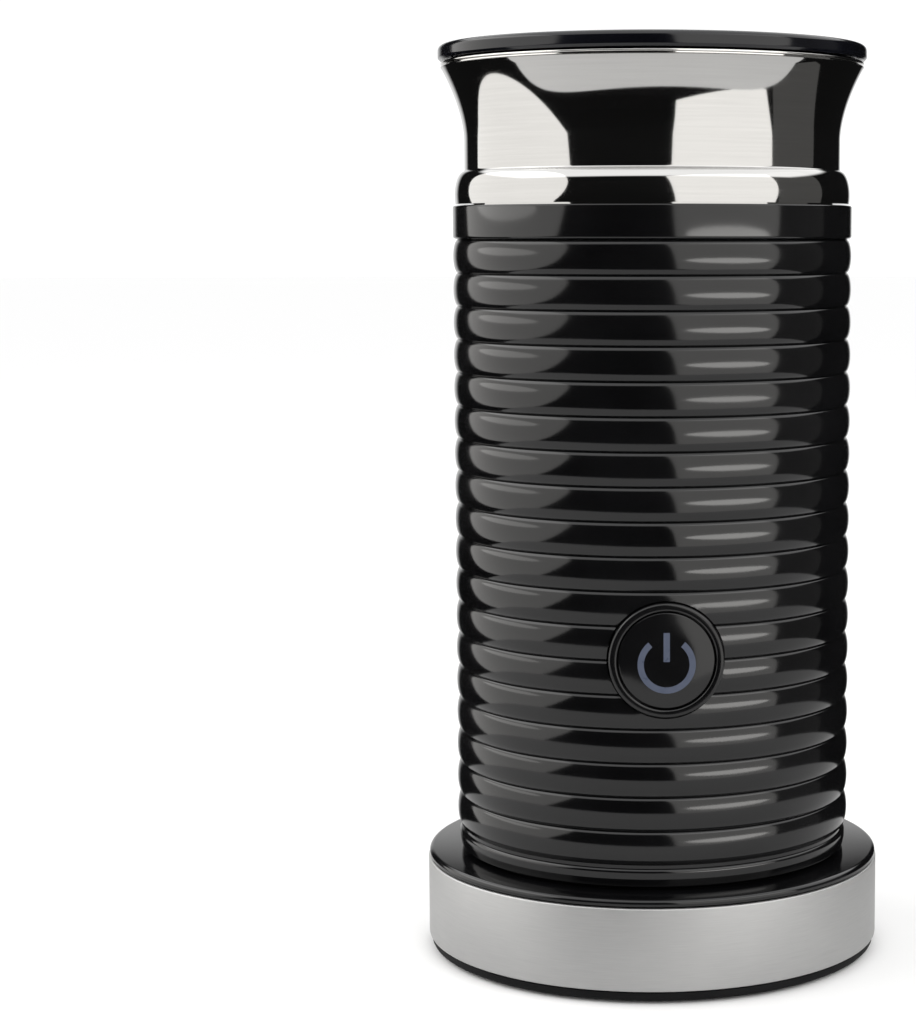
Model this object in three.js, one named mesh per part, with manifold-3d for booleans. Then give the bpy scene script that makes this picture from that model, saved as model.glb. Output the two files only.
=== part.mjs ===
// Electric milk frother: a double-walled jug with a magnetic whisk, standing on a cordless base.
// Millimetres, +Z up, the button faces -Y. The origin is on the table, under the middle of the base.

import * as THREE from 'three';
import { mergeVertices } from 'three/addons/utils/BufferGeometryUtils.js';
import Module from 'manifold-3d';

const wasm = await Module();
wasm.setup();

// ---------------------------------------------------------------- driving dimensions

const GAP = 0.3;               // between pieces that touch
const LOOSE = 0.5;             // between a turning piece and what it turns in
const SEGMENTS = 24;           // facets round the big shells
const FINE = 16;               // facets round the middle-sized turned pieces
const COARSE = 10;             // facets round the pins, screws and wires

// Base
const BASE_LEDGE = 5.8;        // how far the base reaches past the jug's ribs
const FOOT_PROUD = 0.5;        // the feet stand out under the plinth
const FOOT_RADIUS = 4.5;
const FOOT_CIRCLE_INSET = 8;   // foot centres, in from the base's edge
const PLINTH_INSET = 0.5;
const PLINTH_FLOOR = 2.5;
const PLINTH_LIP = 1.7;         // height of the plinth's rim under the band
const PLINTH_CHAMFER = 1;
const BASE_WALL = 1.5;
const BAND_WALL = 0.8;
const BAND_HEIGHT = 15.4;
const COVER_EDGE = 1.3;        // height of the cover's edge over the band
const COVER_PLATE = 2;
const COVER_INSET = 0.2;
const SPLIT_DROP = 3.4;        // the cover's skirt reaches this far down behind the band
const GLAND_RADIUS = 4;
const GLAND_BORE = 2.9;
const GLAND_FLANGE = 1.3;

// Cordless connector
const POST_HEIGHT = 8;         // over the cover
const CONNECTOR_WALL = 1.5;    // between the post's well and its ring slots
const POST_WALL = 2.8;         // round the outer slot
const CONTACT_WALL = 0.4;
const CONTACT_REACH = 7.5;     // depth of the contacts under the post's top
const BLADE_WALL = 0.6;
const EARTH_RADIUS = 3.4;
const EARTH_WELL = 1.2;        // room round the earth pin
const SOCKET_PLATE = 3;
const SOCKET_OVERLAP = 1.5;    // the socket plate is this much wider than the post

// Jug
const JUG_RADIUS = 38.2;       // crest of the ribs
const RIB_COUNT = 18;
const RIB_PITCH = 6.3;
const RIB_DEPTH = 1.1;
const SLEEVE_WALL = 2.1;       // at the bottom of a groove
const BEAD_HEIGHT = 4.1;       // plain ring at the sleeve's foot
const BEAD_INSET = 0.4;
const TOP_BAND = 6.4;          // plain ring at the sleeve's top
const SHEET = 0.8;             // steel of the collar
const SHOULDER_INSET = 0.4;
const SHOULDER_MIDDLE = 2.6;   // height of the shoulder's fullest line over the collar's foot
const SHOULDER_RISE = 3.6;     // from there to the neck
const NECK_INSET = 2.3;
const NECK_STRAIGHT = 6;
const HORN_HEIGHT = 13.6;
const HORN_CURVE = 1.7;        // power that the flare grows with
const HORN_FLARE = 4.4;        // the mouth's lip is this much wider than the neck
const SKIRT_DEPTH = 8.6;       // the collar's skirt reaches this far into the sleeve
const POT_WALL = 0.7;
const POT_FLOOR = 0.8;
const POT_CORNER = 8;
const POT_GAP = 0.4;
const POT_FLANGE = 0.5;
const HOUSING_WALL = 1.6;
const HOUSING_FLOOR = 2;
const HOUSING_HEIGHT = 10;
const FOOT_RING = 3.2;
const FOOT_RING_HEIGHT = 1.7;

// Lid
const LID_RIM = 2.9;
const LID_OVERHANG = 0.5;
const LID_EDGE = 0.8;          // rounding of the rim's top edge
const LID_WALL = 1.6;
const DISH_DEPTH = 3.5;
const DISH_SLOPE = 3;
const PLUG_DEPTH = 15;         // under the lid's rim, down into the straight neck
const PLUG_GAP = 1.6;          // from the plug to the pot, filled by the seal
const LID_BASE = 1.4;
const GRIP_RADIUS = 9;         // the finger grip that rises from the dish
const SEAL_HEIGHT = 4;
const SEAL_LIP = 0.7;

// Drive
const MOTOR_RADIUS = 12.2;
const MOTOR_LENGTH = 26.1;
const MOTOR_WALL = 0.9;
const END_CAP = 1.3;
const SHAFT_RADIUS = 1;
const SHAFT_CLEARANCE = 0.1;
const BEARING_RADIUS = 2.8;
const BEARING_LENGTH = 2.2;
const ROTOR_RADIUS = 8;
const ROTOR_LENGTH = 13;
const STATOR_WALL = 2;
const BRACKET_WALL = 0.8;
const BRACKET_PLATE = 1.5;
const CARRIER_RADIUS = 12.5;
const CARRIER_PLATE = 2.3;
const CARRIER_HUB = 2.5;
const MAGNET_RADIUS = 3.4;
const MAGNET_HEIGHT = 3;
const MAGNET_CIRCLE = 8;
const ELEMENT_RADIUS = 2.6;
const ELEMENT_SWEEP = 300;     // degrees of heating rod
const HEATER_PLATE = 2.1;
const SENSOR_RADIUS = 3.2;
const SENSOR_HEIGHT = 5;

// Whisk
const SPINDLE_RADIUS = 1.5;
const SPINDLE_HEIGHT = 8;
const SPINDLE_FLANGE = 0.8;
const HUB_RADIUS = 11;
const HUB_HEIGHT = 4.6;
const HUB_DOME = 4;
const RING_MAGNET_INNER = 6.1;
const RING_MAGNET_OUTER = 9.9;
const RING_MAGNET_HEIGHT = 2.6;
const RIM_WIDTH = 1.2;
const RIM_RADIUS = 14.8;
const RIM_HEIGHT = 3;
const SPOKE_COUNT = 4;
const SPOKE_WIDTH = 1.8;
const COIL_RADIUS = 2.2;
const COIL_WIRE = 0.35;
const COIL_TURNS = 24;
const COIL_OPENING = 6;        // degrees between the coil's two ends

// Button and electronics
const BUTTON_RADIUS = 10.5;    // outside of the bezel
const BEZEL_PROUD = 0.8;       // over the crest of the ribs
const BEZEL_LIP = 1.5;
const BEZEL_WALL = 0.8;
const BEZEL_FLANGE = 1.1;
const FLANGE_DEPTH = 1;
const CAP_SINK = 0.2;          // the cap's face, behind the bezel's face
const CAP_FACE = 1.8;
const CAP_SHOULDER = 0.6;
const CAP_SKIRT = 1.5;
const CAP_WALL = 1.2;
const BUTTON_TRAVEL = 0.6;
const SYMBOL_RADIUS = 4.7;     // middle of the symbol's stroke
const SYMBOL_STROKE = 1.3;
const SYMBOL_OPENING = 78;     // degrees, at the top
const SYMBOL_DROP = 0.7;       // the ring's centre under the button's centre
const BAR_TOP = 5.1;
const BAR_BOTTOM = -0.2;
const SYMBOL_GAP = 0.12;
const GUIDE_PLATE = 0.7;
const SWITCH_SIZE = 6;
const SWITCH_DEPTH = 3.4;
const PLUNGER_RADIUS = 1.7;
const PLUNGER_PROUD = 0.9;
const BOARD_THICKNESS = 1.6;
const BOARD_WIDTH = 28;
const BOARD_BEHIND_FLANGE = 2;

const SCREW_SHANK = 1.5;
const SCREW_HEAD = 2.7;
const SCREW_HEAD_HEIGHT = 1;
const BOSS_RADIUS = 3.6;

// ---------------------------------------------------------------- derived places

const baseRadius = JUG_RADIUS + BASE_LEDGE;
const slotWidth = GAP + CONTACT_WALL + LOOSE + BLADE_WALL + LOOSE;
const earthWell = EARTH_RADIUS + EARTH_WELL;
const neutralSlot = earthWell + CONNECTOR_WALL;
const liveSlot = neutralSlot + slotWidth + CONNECTOR_WALL;
const postRadius = liveSlot + slotWidth + POST_WALL;
const plinthLipTop = FOOT_PROUD + PLINTH_LIP;
const plinthFloorTop = FOOT_PROUD + PLINTH_FLOOR;
const bandBottom = plinthLipTop + GAP;
const bandTop = bandBottom + BAND_HEIGHT;
const coverEdgeBottom = bandTop + GAP;
const coverTop = coverEdgeBottom + COVER_EDGE;
const coverUnder = coverTop - COVER_PLATE;
const skirtBottom = bandTop - SPLIT_DROP;
const wallOuter = baseRadius - BAND_WALL - GAP;
const wallInner = wallOuter - BASE_WALL;
const footCircle = baseRadius - FOOT_CIRCLE_INSET;
const baseScrewCircle = (postRadius + wallInner) / 2;
const glandHeight = (plinthFloorTop + skirtBottom) / 2;

const postTop = coverTop + POST_HEIGHT;
const socketUnder = postTop + LOOSE;
const socketTop = socketUnder + SOCKET_PLATE;
const socketRadius = postRadius + SOCKET_OVERLAP;
const wellRadius = socketRadius + LOOSE;

const jugFoot = coverTop + GAP;
const sleeveBottom = jugFoot + GAP;
const ribsBottom = sleeveBottom + BEAD_HEIGHT;
const ribsTop = ribsBottom + RIB_COUNT * RIB_PITCH;
const sleeveTop = ribsTop + TOP_BAND;
const grooveRadius = JUG_RADIUS - RIB_DEPTH;
const sleeveInner = grooveRadius - SLEEVE_WALL;
const housingRadius = sleeveInner - GAP;

const skirtRadius = sleeveInner - GAP;
const shoulderRadius = JUG_RADIUS - SHOULDER_INSET;
const neckRadius = JUG_RADIUS - NECK_INSET;
const collarBottom = sleeveTop + GAP;
const shoulderMiddle = collarBottom + SHOULDER_MIDDLE;
const shoulderTop = shoulderMiddle + SHOULDER_RISE;
const hornBottom = shoulderTop + NECK_STRAIGHT;
const lipHeight = hornBottom + HORN_HEIGHT;
const lipRadius = neckRadius + HORN_FLARE;
const potRadius = skirtRadius - SHEET - POT_GAP;
const flangeTop = lipHeight + GAP + POT_FLANGE;

const lidBottom = flangeTop + GAP;
const lidTop = lidBottom + LID_RIM;
const lidRadius = lipRadius + LID_OVERHANG;
const plugRadius = neckRadius - SHEET - GAP - POT_WALL - PLUG_GAP;
const plugBottom = lidBottom - PLUG_DEPTH;

const motorBottom = socketTop + 3;
const canBottom = motorBottom + END_CAP + GAP;
const canTop = canBottom + MOTOR_LENGTH;
const bracketBottom = canTop + GAP;
const bracketTop = bracketBottom + BRACKET_PLATE;
const carrierBottom = bracketTop + LOOSE;
const carrierTop = carrierBottom + CARRIER_HUB + CARRIER_PLATE;
const magnetTop = carrierTop + GAP + MAGNET_HEIGHT;
const potUnder = magnetTop + 0.7;
const potFloor = potUnder + POT_FLOOR;
const spindleBase = potFloor + GAP;
const whiskBottom = spindleBase + SPINDLE_FLANGE + LOOSE;
const rimMiddle = whiskBottom + RIM_HEIGHT / 2 + GAP;
const coilCircle = RIM_RADIUS + COIL_RADIUS + COIL_WIRE + 0.25;

const buttonHeight = potUnder - BUTTON_RADIUS;
const bezelFace = JUG_RADIUS + BEZEL_PROUD;
const flangeRadius = BUTTON_RADIUS + BEZEL_FLANGE;
const flangeFace = Math.sqrt(sleeveInner ** 2 - flangeRadius ** 2) - LOOSE;
const flangeBack = flangeFace - FLANGE_DEPTH;
const capFace = bezelFace - CAP_SINK;
const capBack = capFace - CAP_FACE;
const capRadius = BUTTON_RADIUS - BEZEL_LIP - GAP / 2;
const guideFace = capBack - GAP;
const guideBack = guideFace - GUIDE_PLATE;
const boardFace = flangeBack - BOARD_BEHIND_FLANGE;
const boardBack = boardFace - BOARD_THICKNESS;
const switchBack = boardFace + GAP;
const switchFace = switchBack + SWITCH_DEPTH;
const plungerFace = switchFace + PLUNGER_PROUD;
const boardBottom = socketTop - 1;
const boardTop = buttonHeight + 5;
const bracketRadius = boardBack - 1.1;
const elementCircle = bracketRadius - BRACKET_WALL - ELEMENT_RADIUS - 1;
const elementHeight = potUnder - GAP - HEATER_PLATE - GAP - ELEMENT_RADIUS;
const housingScrewCircle = (wellRadius + housingRadius) / 2;

// ---------------------------------------------------------------- materials

function finish(color, roughness, metalness) {
  return new THREE.MeshStandardMaterial({ color, roughness, metalness });
}
const glossBlack = finish(0x131416, 0.12, 0);
const satinBlack = finish(0x1a1b1d, 0.35, 0);
const smokedLid = finish(0x101216, 0.08, 0);
const polishedSteel = finish(0xd8d8d6, 0.06, 1);
const brushedSteel = finish(0xc4c5c6, 0.35, 1);
const coatedSteel = finish(0x3a3b3d, 0.4, 0.6);
const aluminium = finish(0xb4b6b8, 0.45, 1);
const brass = finish(0xc9a45c, 0.3, 1);
const copper = finish(0xb8683c, 0.4, 1);
const magnetGrey = finish(0x55565a, 0.35, 0.9);
const silicone = finish(0x26272a, 0.7, 0);
const whiskPlastic = finish(0x202124, 0.4, 0);
const lightGuide = finish(0xb9c4dc, 0.3, 0);
const boardGreen = finish(0x1f5a38, 0.5, 0);
const whitePlastic = finish(0xdcdcd8, 0.5, 0);
const redWire = finish(0xa32020, 0.5, 0);
const blueWire = finish(0x24489c, 0.5, 0);

// ---------------------------------------------------------------- helpers

const frother = new THREE.Group();

function piece(name, geometry, material, group = frother) {
  const mesh = new THREE.Mesh(geometry, material);
  mesh.name = name;
  group.add(mesh);
  return mesh;
}

// Turns an outline of [radius, height] points about Z. The outline runs anticlockwise and either starts
// and ends on the axis or is closed here.
function revolve(outline, segments = SEGMENTS) {
  const points = outline.map(([r, z]) => new THREE.Vector2(r, z));
  const first = points[0];
  const last = points[points.length - 1];
  if (first.x > 0 || last.x > 0) points.push(first.clone());
  return new THREE.LatheGeometry(points, segments).rotateX(Math.PI / 2);
}

function ring(inner, outer, bottom, top, segments = SEGMENTS) {
  return revolve([[inner, bottom], [outer, bottom], [outer, top], [inner, top]], segments);
}

function disc(radius, bottom, top, segments = SEGMENTS) {
  return revolve([[0, bottom], [radius, bottom], [radius, top], [0, top]], segments);
}

function box(width, depth, height, x, y, z) {
  return new THREE.BoxGeometry(width, depth, height).translate(x, y, z);
}

// Points on a quarter or other part of an ellipse, angles in degrees from the outward direction.
function arc(r, z, wide, high, from, to, steps) {
  return Array.from({ length: steps + 1 }, (_, i) => {
    const angle = THREE.MathUtils.degToRad(from + (to - from) * i / steps);
    return [r + wide * Math.cos(angle), z + high * Math.sin(angle)];
  });
}

// Centres of pieces that repeat round a circle.
function around(count, radius, firstDegrees) {
  return Array.from({ length: count }, (_, i) => {
    const angle = THREE.MathUtils.degToRad(firstDegrees + 360 * i / count);
    return [radius * Math.cos(angle), radius * Math.sin(angle)];
  });
}

function solid(geometry) {
  const bare = new THREE.BufferGeometry();
  bare.setAttribute('position', geometry.getAttribute('position'));
  if (geometry.index) bare.setIndex(geometry.index);
  const merged = mergeVertices(bare, 1e-4);
  const triangles = [];
  const index = merged.index.array;
  for (let i = 0; i < index.length; i += 3) {
    const [a, b, c] = [index[i], index[i + 1], index[i + 2]];
    if (a !== b && b !== c && c !== a) triangles.push(a, b, c);
  }
  const vertProperties = new Float32Array(merged.attributes.position.array);
  const triVerts = new Uint32Array(triangles);
  return new wasm.Manifold(new wasm.Mesh({ numProp: 3, vertProperties, triVerts }));
}

function surface(made) {
  const mesh = made.getMesh();
  const geometry = new THREE.BufferGeometry();
  geometry.setAttribute('position', new THREE.BufferAttribute(new Float32Array(mesh.vertProperties), 3));
  geometry.setIndex(new THREE.BufferAttribute(new Uint32Array(mesh.triVerts), 1));
  return geometry;
}

const join = (first, ...others) => surface(others.reduce((sum, g) => sum.add(solid(g)), solid(first)));
const cut = (first, ...tools) => surface(tools.reduce((rest, g) => rest.subtract(solid(g)), solid(first)));

// A rod along Y, used for what goes in or out through the jug's or the base's wall.
function rodAlongY(radius, from, to, height, segments) {
  const rod = new THREE.CylinderGeometry(radius, radius, to - from, segments);
  return rod.translate(0, (from + to) / 2, height);
}

// A round wire along a path.
function wire(path, radius, steps, sides) {
  const section = new THREE.Shape();
  for (let i = 0; i < sides; i++) {
    const angle = 2 * Math.PI * i / sides;
    const point = [radius * Math.cos(angle), radius * Math.sin(angle)];
    if (i === 0) section.moveTo(...point);
    else section.lineTo(...point);
  }
  section.closePath();
  return new THREE.ExtrudeGeometry(section, { steps, bevelEnabled: false, extrudePath: path });
}

function lead(name, points, material) {
  const path = new THREE.CatmullRomCurve3(points.map((p) => new THREE.Vector3(...p)));
  piece(name, wire(path, 0.7, 10, 6), material);
}

function screw(name, x, y, headUnder, length) {
  const outline = [
    [0, headUnder], [SCREW_HEAD, headUnder], [SCREW_HEAD, headUnder + SCREW_HEAD_HEIGHT],
    [SCREW_SHANK, headUnder + SCREW_HEAD_HEIGHT], [SCREW_SHANK, headUnder + length], [0, headUnder + length],
  ];
  piece(name, revolve(outline, COARSE), aluminium).position.set(x, y, 0);
}

// ---------------------------------------------------------------- base

function base() {
  const feet = around(3, footCircle, 90);
  const screws = around(3, baseScrewCircle, 30);
  const headUnder = FOOT_PROUD + GAP / 2;
  const headPocketTop = headUnder + SCREW_HEAD_HEIGHT + GAP;
  const footTop = FOOT_PROUD + PLINTH_FLOOR / 2;
  const plinthRadius = baseRadius - PLINTH_INSET;

  const plinth = revolve([
    [0, FOOT_PROUD], [plinthRadius - PLINTH_CHAMFER, FOOT_PROUD], [plinthRadius, FOOT_PROUD + PLINTH_CHAMFER],
    [plinthRadius, plinthLipTop], [wallOuter, plinthLipTop], [wallOuter, skirtBottom - GAP],
    [wallInner, skirtBottom - GAP], [wallInner, plinthFloorTop], [0, plinthFloorTop],
  ]);
  piece('base_plinth', cut(
    plinth,
    ...feet.map(([x, y]) => disc(FOOT_RADIUS + GAP, 0, footTop, FINE).translate(x, y, 0)),
    ...screws.map(([x, y]) => disc(SCREW_HEAD + GAP, 0, headPocketTop, COARSE).translate(x, y, 0)),
    ...screws.map(([x, y]) => disc(SCREW_SHANK + GAP, 0, bandTop, COARSE).translate(x, y, 0)),
    rodAlongY(GLAND_RADIUS + GAP, 0, baseRadius, glandHeight, FINE),
  ), satinBlack);

  feet.forEach(([x, y], i) => {
    piece('foot_' + (i + 1), disc(FOOT_RADIUS, 0, footTop - GAP, FINE), silicone).position.set(x, y, 0);
  });
  screws.forEach(([x, y], i) => screw('base_screw_' + (i + 1), x, y, headUnder, 10));

  piece('base_band', cut(
    ring(baseRadius - BAND_WALL, baseRadius, bandBottom, bandTop),
    rodAlongY(GLAND_RADIUS + GAP, 0, 2 * baseRadius, glandHeight, FINE),
  ), brushedSteel);

  const coverRadius = baseRadius - COVER_INSET;
  const round = COVER_EDGE / 2;
  const cover = revolve([
    [postRadius + GAP, coverUnder], [wallInner, coverUnder], [wallInner, skirtBottom],
    [wallOuter, skirtBottom], [wallOuter, coverEdgeBottom], [coverRadius, coverEdgeBottom],
    ...arc(coverRadius - round, coverTop - round, round, round, 0, 90, 2),
    [postRadius + GAP, coverTop],
  ]);
  const bosses = screws.map(([x, y]) => {
    return disc(BOSS_RADIUS, plinthFloorTop + GAP, coverUnder + 1, COARSE).translate(x, y, 0);
  });
  const bossHoles = screws.map(([x, y]) => {
    return disc(SCREW_SHANK + GAP, 0, headUnder + 11, COARSE).translate(x, y, 0);
  });
  piece('base_cover', surface(solid(join(cover, ...bosses)).subtract(solid(join(...bossHoles)))), glossBlack);

  const glandFace = baseRadius - GAP;
  const glandBack = wallInner - 4;
  const flange = GLAND_RADIUS + GLAND_FLANGE;
  const gland = revolve([
    [GLAND_BORE, glandBack], [flange, glandBack], [flange, glandBack + 2], [GLAND_RADIUS, glandBack + 2],
    [GLAND_RADIUS, glandFace], [GLAND_BORE, glandFace],
  ], FINE);
  const inlet = piece('cord_inlet', gland, silicone);
  inlet.rotation.x = -Math.PI / 2;
  inlet.position.z = glandHeight;
}

function baseConnector() {
  const under = coverUnder - GAP;
  const floor = under - 2.5;
  const bottom = floor - 1.5;
  piece('base_connector', revolve([
    [0, bottom], [postRadius + 2, bottom], [postRadius + 2, under], [postRadius, under],
    [postRadius, postTop - 1], [postRadius - 1, postTop],
    [liveSlot + slotWidth, postTop], [liveSlot + slotWidth, floor], [liveSlot, floor], [liveSlot, postTop],
    [neutralSlot + slotWidth, postTop], [neutralSlot + slotWidth, floor],
    [neutralSlot, floor], [neutralSlot, postTop], [earthWell, postTop], [earthWell, floor], [0, floor],
  ], FINE), satinBlack);
  const contact = (name, inner) => {
    piece(name, ring(inner, inner + CONTACT_WALL, floor + GAP, floor + CONTACT_REACH, FINE), brass);
  };
  contact('live_contact', liveSlot + GAP);
  contact('neutral_contact', neutralSlot + GAP);
  contact('earth_contact', EARTH_RADIUS + LOOSE);
}

// The upper half of the connector, which the jug carries.
function jugSocket() {
  const bladeBottom = coverUnder;
  const bladeTop = socketUnder - GAP;
  piece('jug_socket', disc(socketRadius, socketUnder, socketTop), satinBlack);
  const blade = (name, slot) => {
    const inner = slot + GAP + CONTACT_WALL + LOOSE;
    piece(name, ring(inner, inner + BLADE_WALL, bladeBottom, bladeTop, FINE), brass);
  };
  blade('live_blade', liveSlot);
  blade('neutral_blade', neutralSlot);
  piece('earth_pin', revolve([
    [0, bladeBottom], [EARTH_RADIUS - 1, bladeBottom], [EARTH_RADIUS, bladeBottom + 1],
    [EARTH_RADIUS, bladeTop], [0, bladeTop],
  ], FINE), brass);
}

// ---------------------------------------------------------------- jug shells

function bottomHousing() {
  const floorTop = jugFoot + FOOT_RING_HEIGHT + HOUSING_FLOOR;
  const floorUnder = jugFoot + FOOT_RING_HEIGHT;
  const wellOuter = wellRadius + HOUSING_WALL;
  const housing = revolve([
    [wellRadius, floorUnder], [housingRadius - FOOT_RING, floorUnder], [housingRadius - FOOT_RING, jugFoot],
    [housingRadius, jugFoot], [housingRadius, jugFoot + HOUSING_HEIGHT],
    [housingRadius - HOUSING_WALL, jugFoot + HOUSING_HEIGHT], [housingRadius - HOUSING_WALL, floorTop],
    [wellOuter, floorTop], [wellOuter, socketTop + HOUSING_WALL], [wellRadius - 3, socketTop + HOUSING_WALL],
    [wellRadius - 3, socketTop + LOOSE], [wellRadius, socketTop + LOOSE],
  ]);
  const clipDepth = BOARD_THICKNESS + 2 * GAP + 2;
  const clipMiddle = -(boardFace + boardBack) / 2;
  const clips = [-1, 1].map((side) => {
    const height = boardBottom + 3 - floorTop + 1;
    return box(4, clipDepth, height, side * BOARD_WIDTH / 3, clipMiddle, floorTop - 1 + height / 2);
  });
  const slot = box(
    BOARD_WIDTH + 2 * GAP, BOARD_THICKNESS + 2 * GAP, 20, 0, clipMiddle, boardBottom - GAP + 10,
  );
  const screws = around(3, housingScrewCircle, 30);
  const holes = screws.map(([x, y]) => {
    return disc(SCREW_SHANK + GAP, jugFoot - 1, floorTop + 1, COARSE).translate(x, y, 0);
  });
  const pockets = screws.map(([x, y]) => {
    return disc(SCREW_HEAD + GAP, jugFoot - 1, floorUnder + 1, COARSE).translate(x, y, 0);
  });
  piece('bottom_housing', cut(join(housing, ...clips), slot, ...holes, ...pockets), satinBlack);
  screws.forEach(([x, y], i) => {
    screw('housing_screw_' + (i + 1), x, y, floorUnder + 1 - GAP - SCREW_HEAD_HEIGHT, 8);
  });
}

function ribbedSleeve() {
  const beadRadius = JUG_RADIUS - BEAD_INSET;
  const outline = [
    [sleeveInner, sleeveBottom], [beadRadius - 0.8, sleeveBottom], [beadRadius, sleeveBottom + 1.2],
    [beadRadius, ribsBottom - 0.8],
  ];
  const crestHalf = RIB_PITCH * 0.27;
  for (let n = 0; n < RIB_COUNT; n++) {
    const groove = ribsBottom + n * RIB_PITCH;
    const middle = groove + RIB_PITCH / 2;
    outline.push([grooveRadius, groove], [JUG_RADIUS, middle - crestHalf], [JUG_RADIUS, middle + crestHalf]);
  }
  outline.push([grooveRadius, ribsTop], [JUG_RADIUS, ribsTop + 1]);
  outline.push([JUG_RADIUS, sleeveTop], [sleeveInner, sleeveTop]);
  const hole = rodAlongY(BUTTON_RADIUS + GAP, -2 * JUG_RADIUS, -sleeveInner / 2, buttonHeight, SEGMENTS);
  piece('ribbed_sleeve', cut(revolve(outline), hole), glossBlack);
}

// Radius of the mouth's horn at a share of its height.
const horn = (share, inset) => neckRadius - inset + HORN_FLARE * share ** HORN_CURVE;

function hornPoints(inset, steps) {
  return Array.from({ length: steps + 1 }, (_, i) => {
    return [horn(i / steps, inset), hornBottom + HORN_HEIGHT * i / steps];
  });
}

function collar() {
  const rise = shoulderRadius - neckRadius;
  const skirtBottomHeight = collarBottom - SKIRT_DEPTH;
  const innerRise = SHOULDER_RISE - SHEET;
  // The shoulder is a bead that tucks in again at its foot, so its curve starts under its fullest line.
  const tuck = (drop, high) => -THREE.MathUtils.radToDeg(Math.asin(Math.min(1, drop / high)));
  const outerTuck = tuck(SHOULDER_MIDDLE, SHOULDER_RISE);
  const innerTuck = tuck(SHOULDER_MIDDLE - SHEET, innerRise);
  const outer = [
    [skirtRadius, skirtBottomHeight], [skirtRadius, collarBottom],
    ...arc(neckRadius, shoulderMiddle, rise, SHOULDER_RISE, outerTuck, 90, 5), ...hornPoints(0, 5),
  ];
  const inner = [
    [skirtRadius - SHEET, skirtBottomHeight], [skirtRadius - SHEET, collarBottom + SHEET],
    ...arc(neckRadius - SHEET, shoulderMiddle, rise, innerRise, innerTuck, 90, 5), ...hornPoints(SHEET, 5),
  ];
  piece('steel_collar', revolve([...outer, ...inner.reverse()]), polishedSteel);
}

function innerPot() {
  const inset = SHEET + GAP;
  const straightTop = hornBottom - 4;
  const wall = potRadius - POT_WALL;
  const innerCorner = POT_CORNER - POT_WALL;
  const outer = [
    [0, potUnder], ...arc(potRadius - POT_CORNER, potUnder + POT_CORNER, POT_CORNER, POT_CORNER, -90, 0, 3),
    [potRadius, straightTop], ...hornPoints(inset, 4), [horn(1, inset), lipHeight + GAP],
    [lipRadius, lipHeight + GAP], [lipRadius, flangeTop],
  ];
  const inner = [
    [0, potFloor], ...arc(wall - innerCorner, potFloor + innerCorner, innerCorner, innerCorner, -90, 0, 3),
    [wall, straightTop], ...hornPoints(inset + POT_WALL, 4), [horn(1, inset + POT_WALL), flangeTop],
  ];
  piece('inner_pot', revolve([...outer, ...inner.reverse()]), coatedSteel);
}

// ---------------------------------------------------------------- lid

function lid() {
  const plugInner = plugRadius - LID_WALL;
  const dishFloor = lidTop - DISH_DEPTH;
  const dishFoot = plugInner;
  const dishEdge = dishFoot + DISH_SLOPE;
  const skin = dishFloor - LID_WALL;
  const gripTop = lidTop - 0.2;
  piece('lid_cover', revolve([
    [0, skin], [plugInner, skin], [plugInner, plugBottom + LID_BASE + GAP],
    [plugRadius, plugBottom + LID_BASE + GAP], [plugRadius, lidBottom],
    [lidRadius, lidBottom], ...arc(lidRadius - LID_EDGE, lidTop - LID_EDGE, LID_EDGE, LID_EDGE, 0, 90, 2),
    [dishEdge, lidTop], [dishFoot, dishFloor], [GRIP_RADIUS - 1, dishFloor],
    [GRIP_RADIUS, gripTop - 0.8], [GRIP_RADIUS - 0.8, gripTop], [0, gripTop],
  ]), smokedLid);
  piece('lid_base', disc(plugRadius, plugBottom, plugBottom + LID_BASE), satinBlack);

  // The seal hugs the plug, and its two lips press on the pot's wall.
  const sealBottom = plugBottom + LID_BASE + 2 * GAP;
  const sealTop = sealBottom + SEAL_HEIGHT;
  const inner = plugRadius + GAP;
  const outer = plugRadius + PLUG_GAP - GAP;
  const body = outer - SEAL_LIP;
  piece('lid_seal', revolve([
    [inner, sealBottom], [body, sealBottom], [outer, sealBottom + 0.5], [body, sealBottom + 1.2],
    [body, sealTop - 1.2], [outer, sealTop - 0.5], [body, sealTop], [inner, sealTop],
  ]), silicone);
}

// ---------------------------------------------------------------- motor and heater

class RingPath extends THREE.Curve {
  constructor(radius, height, fromDegrees, sweepDegrees) {
    super();
    Object.assign(this, { radius, height, fromDegrees, sweepDegrees });
  }

  getPoint(t, target = new THREE.Vector3()) {
    const angle = THREE.MathUtils.degToRad(this.fromDegrees + this.sweepDegrees * t);
    return target.set(this.radius * Math.cos(angle), this.radius * Math.sin(angle), this.height);
  }
}

class CoilPath extends THREE.Curve {
  getPoint(t, target = new THREE.Vector3()) {
    const along = THREE.MathUtils.degToRad((360 - COIL_OPENING) * t);
    const turn = 2 * Math.PI * COIL_TURNS * t;
    const radius = coilCircle + COIL_RADIUS * Math.cos(turn);
    const height = rimMiddle + COIL_RADIUS * Math.sin(turn);
    return target.set(radius * Math.cos(along), radius * Math.sin(along), height);
  }
}

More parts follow.
